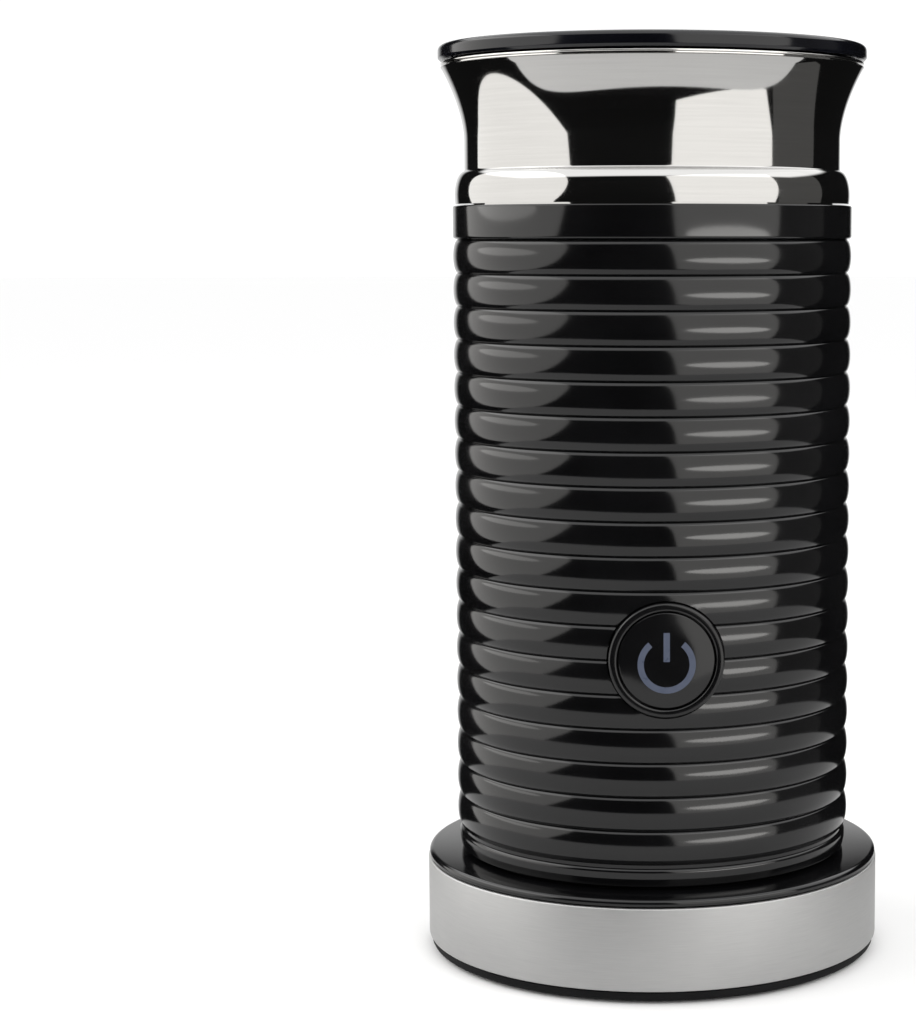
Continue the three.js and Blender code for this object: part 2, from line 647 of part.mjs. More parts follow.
function motor() {
  const bore = SHAFT_RADIUS + SHAFT_CLEARANCE;
  const seat = BEARING_RADIUS + GAP;
  const canInner = MOTOR_RADIUS - MOTOR_WALL;
  piece('motor_can', revolve([
    [canInner, canBottom], [MOTOR_RADIUS, canBottom], [MOTOR_RADIUS, canTop], [seat, canTop],
    [seat, canTop - MOTOR_WALL], [canInner, canTop - MOTOR_WALL],
  ], FINE), aluminium);
  piece('motor_end_cap', ring(seat, MOTOR_RADIUS, motorBottom, motorBottom + END_CAP, FINE), satinBlack);
  piece('upper_bearing', ring(bore, BEARING_RADIUS, canTop - BEARING_LENGTH, canTop, COARSE), copper);
  const lowerTop = motorBottom + BEARING_LENGTH;
  piece('lower_bearing', ring(bore, BEARING_RADIUS, motorBottom, lowerTop, COARSE), copper);

  const statorOuter = canInner - GAP;
  const statorBottom = canBottom + 4;
  piece('stator_magnet', ring(
    statorOuter - STATOR_WALL, statorOuter, statorBottom, statorBottom + ROTOR_LENGTH + 1, FINE,
  ), magnetGrey);

  piece('motor_shaft', disc(SHAFT_RADIUS, motorBottom + 0.4, carrierBottom + 2, COARSE), polishedSteel);
  const rotorBottom = statorBottom + 0.5;
  piece('rotor_core', ring(bore, ROTOR_RADIUS, rotorBottom, rotorBottom + ROTOR_LENGTH, COARSE), copper);
}

function driveCarrier() {
  const hub = 3;
  const bore = SHAFT_RADIUS + SHAFT_CLEARANCE;
  const shaftTop = carrierBottom + 2;
  piece('drive_carrier', revolve([
    [0, shaftTop + GAP], [bore, shaftTop + GAP], [bore, carrierBottom], [hub, carrierBottom],
    [hub, carrierBottom + CARRIER_HUB], [CARRIER_RADIUS, carrierBottom + CARRIER_HUB],
    [CARRIER_RADIUS, carrierTop], [0, carrierTop],
  ], FINE), whitePlastic);
  [-1, 1].forEach((side, i) => {
    const magnet = disc(MAGNET_RADIUS, carrierTop + GAP, magnetTop, COARSE);
    piece('drive_magnet_' + (i + 1), magnet, magnetGrey).position.x = side * MAGNET_CIRCLE;
  });
}

function heater() {
  const plateTop = potUnder - GAP;
  const plateUnder = plateTop - HEATER_PLATE;
  const bracketInner = bracketRadius - BRACKET_WALL;
  piece('motor_bracket', revolve([
    [BEARING_RADIUS + 1, bracketBottom], [bracketRadius, bracketBottom], [bracketRadius, plateUnder - GAP],
    [bracketInner, plateUnder - GAP], [bracketInner, bracketTop], [BEARING_RADIUS + 1, bracketTop],
  ]), aluminium);
  piece('heater_plate', ring(CARRIER_RADIUS + 1.5, bracketRadius, plateUnder, plateTop), aluminium);
  const half = (360 - ELEMENT_SWEEP) / 2;
  const path = new RingPath(elementCircle, elementHeight, 90 + half, ELEMENT_SWEEP);
  piece('heater_element', wire(path, ELEMENT_RADIUS, 20, 8), coatedSteel);
  const sensor = disc(SENSOR_RADIUS, plateUnder - GAP - SENSOR_HEIGHT, plateUnder - GAP, COARSE);
  piece('temperature_sensor', sensor, whitePlastic).position.y = elementCircle;
}

// ---------------------------------------------------------------- whisk

function whisk() {
  const flange = SPINDLE_RADIUS + 2.5;
  const pinTop = spindleBase + SPINDLE_HEIGHT;
  piece('whisk_spindle', revolve([
    [0, spindleBase], [flange, spindleBase], [flange, spindleBase + SPINDLE_FLANGE],
    [SPINDLE_RADIUS, spindleBase + SPINDLE_FLANGE], [SPINDLE_RADIUS, pinTop - 1], [0.6, pinTop], [0, pinTop],
  ], COARSE), polishedSteel);

  const pocketTop = whiskBottom + RING_MAGNET_HEIGHT + 2 * LOOSE;
  const bore = SPINDLE_RADIUS + LOOSE;
  const hubTop = Math.max(whiskBottom + HUB_HEIGHT, pocketTop + 1);
  const domeTop = pinTop + LOOSE + 1.5;
  const hub = revolve([
    [0, pinTop + LOOSE], [bore, pinTop + LOOSE], [bore, whiskBottom],
    [RING_MAGNET_INNER - LOOSE, whiskBottom], [RING_MAGNET_INNER - LOOSE, pocketTop],
    [RING_MAGNET_OUTER + LOOSE, pocketTop],
    [RING_MAGNET_OUTER + LOOSE, whiskBottom], [HUB_RADIUS, whiskBottom], [HUB_RADIUS, hubTop - 0.8],
    [HUB_RADIUS - 0.8, hubTop], [HUB_DOME, hubTop], [HUB_DOME, domeTop - 1], [HUB_DOME - 1, domeTop],
    [0, domeTop],
  ], FINE);
  const rimInner = RIM_RADIUS - RIM_WIDTH;
  const rim = ring(rimInner, RIM_RADIUS, rimMiddle - RIM_HEIGHT / 2, rimMiddle + RIM_HEIGHT / 2, FINE);
  const spokeLength = RIM_RADIUS - RIM_WIDTH / 2 - HUB_RADIUS + 0.7;
  const spokes = Array.from({ length: SPOKE_COUNT }, (_, i) => {
    const spoke = new THREE.BoxGeometry(spokeLength, SPOKE_WIDTH, RIM_HEIGHT * 0.7);
    spoke.rotateX(Math.PI / 7);
    spoke.translate(HUB_RADIUS - 0.7 + spokeLength / 2, 0, rimMiddle);
    return spoke.rotateZ(2 * Math.PI * (i + 0.5) / SPOKE_COUNT);
  });
  piece('whisk_wheel', join(hub, rim, ...spokes), whiskPlastic);
  piece('froth_coil', wire(new CoilPath(), COIL_WIRE, COIL_TURNS * 5, 4), polishedSteel);
  const magnetBottom = whiskBottom + LOOSE;
  piece('whisk_magnet', ring(
    RING_MAGNET_INNER, RING_MAGNET_OUTER, magnetBottom, magnetBottom + RING_MAGNET_HEIGHT, FINE,
  ), magnetGrey);
}

// ---------------------------------------------------------------- button and electronics

// The outline of the symbol's open ring, grown by a margin all round.
function symbolRing(margin) {
  const half = THREE.MathUtils.degToRad(SYMBOL_OPENING / 2);
  const turn = margin / SYMBOL_RADIUS;
  const from = Math.PI / 2 + half - turn;
  const to = Math.PI / 2 - half + turn + 2 * Math.PI;
  const reach = SYMBOL_STROKE / 2 + margin;
  const shape = new THREE.Shape();
  shape.absarc(0, -SYMBOL_DROP, SYMBOL_RADIUS + reach, from, to, false);
  shape.absarc(0, -SYMBOL_DROP, SYMBOL_RADIUS - reach, to, from, true);
  return shape;
}

function symbolBar(margin) {
  const half = SYMBOL_STROKE / 2 + margin;
  const shape = new THREE.Shape();
  shape.moveTo(-half, BAR_BOTTOM - margin);
  shape.lineTo(half, BAR_BOTTOM - margin);
  shape.lineTo(half, BAR_TOP + margin);
  shape.lineTo(-half, BAR_TOP + margin);
  return shape;
}

function raised(shape, from, to) {
  const settings = { depth: to - from, bevelEnabled: false, curveSegments: 12 };
  return new THREE.ExtrudeGeometry(shape, settings).translate(0, 0, from);
}

// Everything here is built facing +Z, at its distance from the jug's axis, and then turned to face -Y.
function front() {
  const group = new THREE.Group();
  group.rotation.x = Math.PI / 2;
  group.position.z = buttonHeight;
  frother.add(group);

  const boreRadius = BUTTON_RADIUS - BEZEL_WALL;
  const lipBack = bezelFace - 1;
  const lipInner = BUTTON_RADIUS - BEZEL_LIP;
  piece('button_bezel', revolve([
    [boreRadius, flangeBack], [flangeRadius, flangeBack], [flangeRadius, flangeFace],
    [BUTTON_RADIUS, flangeFace], [BUTTON_RADIUS, bezelFace - 0.6], [BUTTON_RADIUS - 0.6, bezelFace],
    [lipInner, bezelFace], [lipInner, lipBack], [boreRadius, lipBack],
  ]), glossBlack, group);

  const shoulder = capRadius + CAP_SHOULDER;
  const shoulderFace = lipBack - GAP;
  const skirtBack = capBack - CAP_SKIRT;
  const cap = revolve([
    [0, capBack], [shoulder - CAP_WALL, capBack], [shoulder - CAP_WALL, skirtBack], [shoulder, skirtBack],
    [shoulder, shoulderFace], [capRadius, shoulderFace], [capRadius, capFace - 0.4],
    [capRadius - 0.4, capFace], [0, capFace],
  ]);
  piece('button_cap', cut(
    cap,
    raised(symbolRing(SYMBOL_GAP), capBack - 1, capFace + 1),
    raised(symbolBar(SYMBOL_GAP), capBack - 1, capFace + 1),
  ), glossBlack, group);

  const stemBack = plungerFace + GAP;
  const guideRadius = shoulder - CAP_WALL - GAP;
  piece('button_symbol', join(
    disc(guideRadius, guideBack, guideFace, FINE),
    disc(PLUNGER_RADIUS, stemBack, guideBack + 0.2, COARSE),
    raised(symbolRing(0), guideFace - 0.2, capFace - 0.05),
    raised(symbolBar(0), guideFace - 0.2, capFace - 0.05),
  ), lightGuide, group);

  const plungerBack = switchFace - BUTTON_TRAVEL - 0.6;
  piece('switch_body', cut(
    box(SWITCH_SIZE, SWITCH_SIZE, SWITCH_DEPTH, 0, 0, (switchBack + switchFace) / 2),
    disc(PLUNGER_RADIUS + GAP, plungerBack - BUTTON_TRAVEL - GAP, switchFace + 1, COARSE),
  ), satinBlack, group);
  piece('switch_plunger', disc(PLUNGER_RADIUS, plungerBack, plungerFace, COARSE), whitePlastic, group);

  const boardHeight = boardTop - boardBottom;
  const boardMiddle = (boardTop + boardBottom) / 2 - buttonHeight;
  piece('control_board', box(
    BOARD_WIDTH, boardHeight, BOARD_THICKNESS, 0, boardMiddle, (boardFace + boardBack) / 2,
  ), boardGreen, group);
  const led = box(1.6, 2.4, 1, SWITCH_SIZE / 2 + 2, 0, boardFace + GAP + 0.5);
  piece('indicator_led', led, whitePlastic, group);
  const behind = boardBack - GAP;
  const relayHeight = boardBottom - buttonHeight + 14;
  piece('relay', box(9, 12, 7, -8, relayHeight, behind - 3.5), blueWire, group);
  piece('controller_chip', box(7, 7, 1.6, 7, relayHeight + 6, behind - 0.8), satinBlack, group);
  const capacitor = new THREE.CylinderGeometry(3.2, 3.2, 9, COARSE);
  piece('capacitor', capacitor.translate(8, relayHeight - 5, behind - 3.4), satinBlack, group);
}

// The leads start on the board's back and end beside the motor's cap and the heater's bracket.
function leads() {
  const start = -boardBack + 1;
  const capSide = -MOTOR_RADIUS - GAP;
  const capHeight = motorBottom + END_CAP / 2;
  lead('motor_lead_positive', [
    [1, start, capHeight + 6], [1.5, start + 4, capHeight + 4], [3, capSide - 4.5, capHeight + 0.6],
    [4, capSide, capHeight],
  ], redWire);
  lead('motor_lead_negative', [
    [-1.5, start, capHeight + 2], [-2, start + 4, capHeight + 1.4], [-3, capSide - 4.5, capHeight + 0.4],
    [-4, capSide, capHeight],
  ], blueWire);
  const side = bracketRadius + 2.2;
  const startHeight = boardTop - 9;
  const endHeight = elementHeight - 1;
  const heaterLeads = [[1, 'heater_lead_live', redWire], [-1, 'heater_lead_neutral', blueWire]];
  heaterLeads.forEach(([hand, name, colour]) => {
    lead(name, [
      [hand * (BOARD_WIDTH / 2 - 2), start, startHeight], [hand * side * 0.62, -side * 0.66, startHeight - 1],
      [hand * side * 0.96, -side * 0.28, startHeight + 1],
      [hand * side, side * 0.2, (startHeight + endHeight) / 2],
      [hand * side * 0.82, side * 0.58, endHeight - 1], [hand * side * 0.5, side * 0.82, endHeight],
    ], colour);
  });
}

base();
baseConnector();
jugSocket();
bottomHousing();
ribbedSleeve();
collar();
innerPot();
lid();
motor();
driveCarrier();
heater();
whisk();
front();
leads();

export default frother;
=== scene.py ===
# %% [markdown]
# # A milk frother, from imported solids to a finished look
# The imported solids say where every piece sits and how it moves. This lesson gives each piece the fine
# shape and the finish of the real thing: turned shells, a coiled whisk, a lit symbol and a small studio.

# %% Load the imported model
import math
import bmesh
import bpy
from mathutils import Matrix, Vector


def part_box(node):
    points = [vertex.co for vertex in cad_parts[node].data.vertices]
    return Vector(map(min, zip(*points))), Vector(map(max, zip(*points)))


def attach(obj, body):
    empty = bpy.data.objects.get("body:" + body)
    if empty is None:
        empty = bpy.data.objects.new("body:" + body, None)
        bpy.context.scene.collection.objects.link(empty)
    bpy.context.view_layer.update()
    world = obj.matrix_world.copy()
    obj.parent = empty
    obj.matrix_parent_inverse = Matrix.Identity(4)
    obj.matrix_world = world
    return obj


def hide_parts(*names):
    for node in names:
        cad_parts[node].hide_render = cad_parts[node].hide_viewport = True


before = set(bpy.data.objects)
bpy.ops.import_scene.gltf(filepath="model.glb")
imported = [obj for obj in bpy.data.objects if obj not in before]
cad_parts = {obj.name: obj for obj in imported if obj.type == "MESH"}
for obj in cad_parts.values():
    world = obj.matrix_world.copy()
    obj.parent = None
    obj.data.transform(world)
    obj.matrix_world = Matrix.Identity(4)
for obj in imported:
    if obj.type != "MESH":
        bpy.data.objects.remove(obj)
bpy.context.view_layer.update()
MM = 0.001
print("nodes:", len(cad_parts))

# %% [markdown]
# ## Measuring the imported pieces
# A jug is turned on a lathe, so most of its pieces are told by a radius, a foot and a top. Reading them from
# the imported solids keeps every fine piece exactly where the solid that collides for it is.

# %% Radius, foot and top of a turned piece, in millimetres
def turned_size(node):
    """The outer radius of a node that stands on the axis, and its foot and top."""
    low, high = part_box(node)
    return high[0] / MM, low[2] / MM, high[2] / MM


def middle_of(node):
    """The middle of a node across the floor, and its foot and top."""
    low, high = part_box(node)
    return (low[0] + high[0]) / 2 / MM, (low[1] + high[1]) / 2 / MM, low[2] / MM, high[2] / MM


for node in ("base_band", "ribbed_sleeve", "steel_collar", "lid_cover"):
    print(node, ["%.1f" % value for value in turned_size(node)])

# %% [markdown]
# ## Tools for outlines
# A turned piece starts as an outline in the plane of its axis. Two small tools draw the curves that outlines
# are made of: part of an ellipse, and a corner rounded by a radius, as a cutter or a press would leave it.

# %% Curves for outlines
def bow(r, z, wide, high, start, end, steps=8):
    """Points on part of an ellipse, with its angles in degrees from the outward direction."""
    angles = [math.radians(start + (end - start) * i / steps) for i in range(steps + 1)]
    return [(r + wide * math.cos(a), z + high * math.sin(a)) for a in angles]


def softened(outline, steps=5):
    """Rounds each corner that carries a third number, the radius of its rounding."""
    points = []
    for i, corner in enumerate(outline):
        here = Vector(corner[:2])
        if len(corner) < 3:
            points.append(tuple(here))
            continue
        back = (Vector(outline[i - 1][:2]) - here).normalized()
        ahead = (Vector(outline[(i + 1) % len(outline)][:2]) - here).normalized()
        half = back.angle(ahead) / 2
        centre = here + (back + ahead).normalized() * corner[2] / math.sin(half)
        spoke = here + back * corner[2] / math.tan(half) - centre
        last = here + ahead * corner[2] / math.tan(half) - centre
        turn = math.atan2(spoke.cross(last), spoke.dot(last))
        points += [tuple(centre + Matrix.Rotation(turn * k / steps, 2) @ spoke) for k in range(steps + 1)]
    return points


# %% From a bmesh to a piece of the object
def made(name, shape, body, nodes, sharp=32):
    """Turns a bmesh in millimetres into a piece in metres that rides on a body and stands for nodes."""
    bmesh.ops.remove_doubles(shape, verts=shape.verts, dist=1e-5)
    bmesh.ops.recalc_face_normals(shape, faces=shape.faces)
    bmesh.ops.scale(shape, vec=(MM, MM, MM), verts=shape.verts)
    mesh = bpy.data.meshes.new(name)
    shape.to_mesh(mesh)
    shape.free()
    piece = bpy.data.objects.new(name, mesh)
    bpy.context.scene.collection.objects.link(piece)
    shade(piece, sharp)
    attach(piece, body)
    if nodes:
        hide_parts(*nodes)
    print("%-16s %6d faces" % (name, len(mesh.polygons)))
    return piece


def shade(piece, sharp):
    """Smooth faces, with a crease wherever two of them meet at more than sharp degrees."""
    shape = bmesh.new()
    shape.from_mesh(piece.data)
    for edge in shape.edges:
        edge.smooth = edge.calc_face_angle(0) < math.radians(sharp)
    for face in shape.faces:
        face.smooth = True
    shape.to_mesh(piece.data)
    shape.free()


def spun(outline, steps=128, place=Matrix()):
    """A bmesh of an outline spun all the way round. The outline closes itself unless it ends on the axis."""
    shape = bmesh.new()
    corners = [shape.verts.new((r, 0, z)) for r, z in outline]
    pairs = list(zip(corners, corners[1:]))
    if outline[0][0] > 0 or outline[-1][0] > 0:
        pairs.append((corners[-1], corners[0]))
    edges = [shape.edges.new(pair) for pair in pairs]
    bmesh.ops.spin(shape, geom=corners + edges, cent=(0, 0, 0), axis=(0, 0, 1),
                   angle=2 * math.pi, steps=steps, use_merge=True)
    bmesh.ops.remove_doubles(shape, verts=shape.verts, dist=1e-4)
    bmesh.ops.transform(shape, matrix=place, verts=shape.verts)
    return shape


def joined(*shapes):
    """One bmesh that holds all the given ones."""
    whole = bmesh.new()
    for shape in shapes:
        mesh = bpy.data.meshes.new("scrap")
        shape.to_mesh(mesh)
        shape.free()
        whole.from_mesh(mesh)
        bpy.data.meshes.remove(mesh)
    return whole


# %% [markdown]
# ## Drilling a hole
# The sleeve is turned first and drilled for the button afterwards, and so is the base for its cord, its feet
# and its screws. A boolean with a bar of the hole's size does the same, and its result is kept as the mesh of
# the piece itself. A bar that comes from outside starts well clear of every wall.

# %% Cutting a hole with a bar
DRILL_LENGTH = 40
OUTSIDE = 50


def carved(piece, tool_shape, sharp=32):
    """Takes the volume of a bmesh in millimetres out of a piece."""
    bmesh.ops.scale(tool_shape, vec=(MM, MM, MM), verts=tool_shape.verts)
    tool_mesh = bpy.data.meshes.new("tool")
    tool_shape.to_mesh(tool_mesh)
    tool_shape.free()
    tool = bpy.data.objects.new("tool", tool_mesh)
    bpy.context.scene.collection.objects.link(tool)
    cut = piece.modifiers.new("cut", "BOOLEAN")
    cut.object = tool
    cut.solver = "EXACT"
    ready = piece.evaluated_get(bpy.context.evaluated_depsgraph_get())
    rest = bpy.data.meshes.new_from_object(ready)
    piece.modifiers.remove(cut)
    piece.data = rest
    bpy.data.objects.remove(tool)
    shade(piece, sharp)


def drill(radius, length, place):
    """A round bar along Z, moved to its place, to cut a hole with."""
    shape = bmesh.new()
    bmesh.ops.create_cone(shape, cap_ends=True, segments=96, radius1=radius, radius2=radius, depth=length)
    bmesh.ops.transform(shape, matrix=place, verts=shape.verts)
    return shape


def along_y(radius, start, end, height):
    """A round bar along Y from start to end, at a height."""
    lying = Matrix.Translation((0, (start + end) / 2, height)) @ Matrix.Rotation(math.pi / 2, 4, "X")
    return drill(radius, end - start, lying)


def pocket(node, radius, top):
    """A pocket that opens downward, under the middle of a node."""
    x, y, _, _ = middle_of(node)
    return drill(radius, DRILL_LENGTH, Matrix.Translation((x, y, top - DRILL_LENGTH / 2)))


# %% [markdown]
# ## The ribbed sleeve
# The jug's outer sleeve is one glossy moulding. Eighteen soft ribs run round it with narrow dark grooves
# between them, over a plain ring at the foot. A rib's face is a power of a sine: round in the middle and
# narrowing to a crease at the groove, so each rib catches its own line of light and the grooves stay grey.

# %% Rib profile and sleeve
RIB_COUNT = 18
RIB_DEPTH = 0.9
SLEEVE_WALL = 2.3
BEAD_HEIGHT = 4.1
TOP_BAND = 6.4
RIB_FULLNESS = 1.05
BEAD_INSET = 0.4
BEZEL_RADIUS = 10.5
BEZEL_GAP = 0.25
BEHIND_THE_WALL = 20
sleeve_radius, sleeve_foot, sleeve_top = turned_size("ribbed_sleeve")
ribs_foot = sleeve_foot + BEAD_HEIGHT
ribs_top = sleeve_top - TOP_BAND
rib_pitch = (ribs_top - ribs_foot) / RIB_COUNT
groove_radius = sleeve_radius - RIB_DEPTH


def rib(foot, steps=14):
    """The face of one rib, from the groove under it to just below the groove over it."""
    turns = [math.pi * i / steps for i in range(steps)]
    return [(groove_radius + RIB_DEPTH * math.sin(a) ** RIB_FULLNESS,
             foot + rib_pitch * (1 - math.cos(a)) / 2) for a in turns]


bead_radius = sleeve_radius - BEAD_INSET
outline = softened([
    (groove_radius - SLEEVE_WALL, sleeve_foot), (bead_radius - 0.3, sleeve_foot, 0.6),
    (bead_radius, sleeve_foot + 1.6, 1.0), (bead_radius, ribs_foot - 0.9, 0.8),
    (groove_radius, ribs_foot - 0.6),
])
for number in range(RIB_COUNT):
    outline += rib(ribs_foot + number * rib_pitch)
outline += softened([
    (groove_radius, ribs_top), (sleeve_radius, ribs_top + 0.35, 0.5), (sleeve_radius, sleeve_top, 0.35),
    (groove_radius - SLEEVE_WALL, sleeve_top),
])
sleeve = made("sleeve_shell", spun(outline), "jug", ["ribbed_sleeve"])
button_low, button_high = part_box("button_bezel")
button_height = (button_low[2] + button_high[2]) / 2 / MM
bezel_face = -button_low[1] / MM
carved(sleeve, along_y(BEZEL_RADIUS + BEZEL_GAP, -OUTSIDE, -BEHIND_THE_WALL, button_height))
print("rib pitch %.2f mm, button at %.1f mm" % (rib_pitch, button_height))

# %% [markdown]
# ## The steel collar
# Above the sleeve the jug's steel shows, pressed from one sheet and mirror polished: a rounded shoulder, a
# crease where it meets the neck, and a mouth that opens like a trumpet so that it pours from any side. The
# shoulder tucks in again at its foot. The flare grows with a power of the height, slow at the neck and quick
# at the lip.

# %% Collar profile
SHEET = 0.8
SHOULDER_RADIUS = 37.8
SHOULDER_MIDDLE = 1.6
SHOULDER_RISE = 4.6
NECK_RADIUS = 35.9
NECK_STRAIGHT = 6
HORN_HEIGHT = 13.6
HORN_CURVE = 1.7
CREASE = 0.5
SKIRT_GAP = 0.3
lip_radius, collar_foot, lip_height = turned_size("steel_collar")
horn_foot = lip_height - HORN_HEIGHT
shoulder_middle = horn_foot - NECK_STRAIGHT - SHOULDER_RISE
seat = shoulder_middle - SHOULDER_MIDDLE


def horn(share, inset):
    """The flare's radius at a share of its height."""
    return NECK_RADIUS - inset + (lip_radius - NECK_RADIUS) * share ** HORN_CURVE


def trumpet(inset, steps=24):
    """The flare's outline, from the top of the neck to the lip."""
    return [(horn(i / steps, inset), horn_foot + HORN_HEIGHT * i / steps) for i in range(steps + 1)]


def shoulder(inset):
    """The bead that bulges out over the sleeve, and the crease that leads from it into the neck."""
    rise = SHOULDER_RADIUS - NECK_RADIUS
    high = SHOULDER_RISE - inset
    tuck = -math.degrees(math.asin((SHOULDER_MIDDLE - inset) / high))
    bead = bow(NECK_RADIUS - inset, shoulder_middle, rise, high, tuck, 76, 18)
    return bead + bow(NECK_RADIUS - inset + CREASE, bead[-1][1] + CREASE, CREASE, CREASE, 265, 180, 6)


skirt_radius = sleeve_radius - RIB_DEPTH - SLEEVE_WALL - SKIRT_GAP
outer = [(skirt_radius, collar_foot), (skirt_radius, seat)] + shoulder(0) + trumpet(0)
inner = [(skirt_radius - SHEET, collar_foot), (skirt_radius - SHEET, seat + SHEET)]
inner += shoulder(SHEET) + trumpet(SHEET)
lip = bow(lip_radius - SHEET / 2, lip_height - 0.15, SHEET / 2, 0.15, 0, 180, 6)
collar = made("collar_shell", spun(outer[:-1] + lip + inner[-2::-1], 160), "jug", ["steel_collar"], 40)

# %% [markdown]
# ## The pot inside
# The milk stands in a drawn pot with a round corner to its floor, coated dark so that milk doesn't burn on.
# Its flange lies on the collar's lip and stays bare, a thin bright line under the lid.

# %% Pot profile
POT_WALL = 0.7
POT_FLOOR = 0.8
CORNER = 8
POT_GAP = 0.3
FLANGE = 0.5
pot_lip, pot_under, pot_top = turned_size("inner_pot")
pot_radius = skirt_radius - SHEET - 0.4
pot_bend = horn_foot - 4
pot_inset = SHEET + POT_GAP
inner_corner = CORNER - POT_WALL
outer = [(0, pot_under)] + bow(pot_radius - CORNER, pot_under + CORNER, CORNER, CORNER, -90, 0, 10)
outer += [(pot_radius, pot_bend)] + trumpet(pot_inset, 16) + [(horn(1, pot_inset), pot_top - FLANGE)]
flange = bow(pot_lip - FLANGE / 2, pot_top - FLANGE / 2, FLANGE / 2, FLANGE / 2, -90, 90, 6)
inner = [(0, pot_under + POT_FLOOR)]
inner += bow(pot_radius - CORNER, pot_under + POT_FLOOR + inner_corner, inner_corner, inner_corner, -90, 0, 10)
inner += [(pot_radius - POT_WALL, pot_bend)] + trumpet(pot_inset + POT_WALL, 16)
inner += bow(horn(1, pot_inset + POT_WALL) + FLANGE, pot_top - FLANGE, FLANGE, FLANGE, 180, 90, 4)
pot = made("pot_liner", spun(outer + flange + inner[::-1]), "jug", ["inner_pot"])

# %% [markdown]
# ## The lid
# A dark glossy disc overhangs the mouth a little. From the table only its rim shows, with a soft top edge. The
# top is dished, and a low round grip stands in the dish, no higher than the rim, so that lids stack.

# %% Lid cover, base and seal
PLUG_WALL = 1.6
RIM_HEIGHT = 2.9
DISH_DEPTH = 3.5
DISH_SLOPE = 3
DISH_SKIN = 1.6
GRIP_RADIUS = 9.5
SEAL_GROOVE = 0.7
lid_radius, lid_foot, lid_top = turned_size("lid_cover")
plug_radius, plate_foot, plate_top = turned_size("lid_base")
plug_bore = plug_radius - PLUG_WALL
rim_foot = lid_top - RIM_HEIGHT
dish_floor = lid_top - DISH_DEPTH
dish_edge = plug_bore + DISH_SLOPE
skin = dish_floor - DISH_SKIN
outline = softened([
    (0, skin), (plug_bore, skin, 0.6), (plug_bore, lid_foot), (plug_radius, lid_foot),
    (plug_radius, rim_foot, 0.3), (lid_radius - 0.5, rim_foot, 0.2), (lid_radius, rim_foot + 0.5, 0.4),
    (lid_radius, lid_top, 1.1), (dish_edge, lid_top, 1.5), (dish_edge - DISH_SLOPE, dish_floor, 2.0),
    (GRIP_RADIUS, dish_floor, 1.2), (GRIP_RADIUS - 0.5, lid_top - 0.2, 0.9), (0, lid_top - 0.35),
], 7)
lid = made("lid_shell", spun(outline, 160), "lid", ["lid_cover"])
outline = softened([
    (0, plate_foot), (plug_radius, plate_foot, 0.5), (plug_radius, plate_top, 0.2), (0, plate_top)])
plate = made("lid_plate", spun(outline), "lid", ["lid_base"])
seal_radius, seal_foot, seal_top = turned_size("lid_seal")
groove = seal_radius - SEAL_GROOVE
seal = made("lid_lip_seal", spun(softened([
    (plug_radius + 0.3, seal_foot), (groove, seal_foot, 0.1), (seal_radius, seal_foot + 0.5, 0.2),
    (groove, seal_foot + 1.2, 0.2), (groove, seal_top - 1.2, 0.2), (seal_radius, seal_top - 0.5, 0.2),
    (groove, seal_top, 0.1), (plug_radius + 0.3, seal_top)])), "lid", ["lid_seal"])

# %% [markdown]
# ## The base
# The base is a black plinth on three feet, a brushed steel band and a glossy cover with a soft edge. Both
# edges of the band are broken by a hair's breadth, and each of them draws a brighter line round the base.

# %% Band, cover and plinth
EDGE = 0.3
BAND_SHEET = 0.8
BAND_INSIDE = 1.1
BASE_WALL = 1.5
COVER_SHEET = 2
POST_HOLE = 15.3
PLINTH_LIP = 1.7
PLINTH_FLOOR = 2.5
GLAND_HOLE = 4.3
BEHIND_THE_BAND = 35
BEHIND_THE_PLINTH = 30
band_radius, band_foot, band_top = turned_size("base_band")
cover_radius, cover_skirt, cover_top = turned_size("base_cover")
plinth_radius, plinth_foot, plinth_top = turned_size("base_plinth")
gland_low, gland_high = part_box("cord_inlet")
gland_height = (gland_low[2] + gland_high[2]) / 2 / MM
band = made("band_ring", spun(softened([
    (band_radius - BAND_SHEET, band_foot), (band_radius, band_foot, EDGE), (band_radius, band_top, EDGE),
    (band_radius - BAND_SHEET, band_top)], 4), 192), "base", ["base_band"])
carved(band, along_y(GLAND_HOLE, BEHIND_THE_BAND, OUTSIDE, gland_height))
wall = band_radius - BAND_INSIDE
cover = made("cover_disc", spun(softened([
    (POST_HOLE, cover_top - COVER_SHEET), (wall - BASE_WALL, cover_top - COVER_SHEET),
    (wall - BASE_WALL, cover_skirt), (wall, cover_skirt), (wall, band_top + 0.3),
    (cover_radius, band_top + 0.3, 0.2), (cover_radius, cover_top, 0.8), (POST_HOLE, cover_top, 0.3),
]), 160), "base", ["base_cover"])
plinth = made("plinth_pan", spun(softened([
    (0, plinth_foot), (plinth_radius, plinth_foot, 1.0), (plinth_radius, plinth_foot + PLINTH_LIP),
    (wall, plinth_foot + PLINTH_LIP), (wall, plinth_top), (wall - BASE_WALL, plinth_top),
    (wall - BASE_WALL, plinth_foot + PLINTH_FLOOR), (0, plinth_foot + PLINTH_FLOOR),
])), "base", ["base_plinth"])
carved(plinth, along_y(GLAND_HOLE, BEHIND_THE_PLINTH, OUTSIDE, gland_height))

# %% [markdown]
# ## Feet and screws
# Three silicone pads stand a hair under the plinth and three screws close the base from below. A screw head
# is turned like everything else, and a cross is cut into it with two small bars.

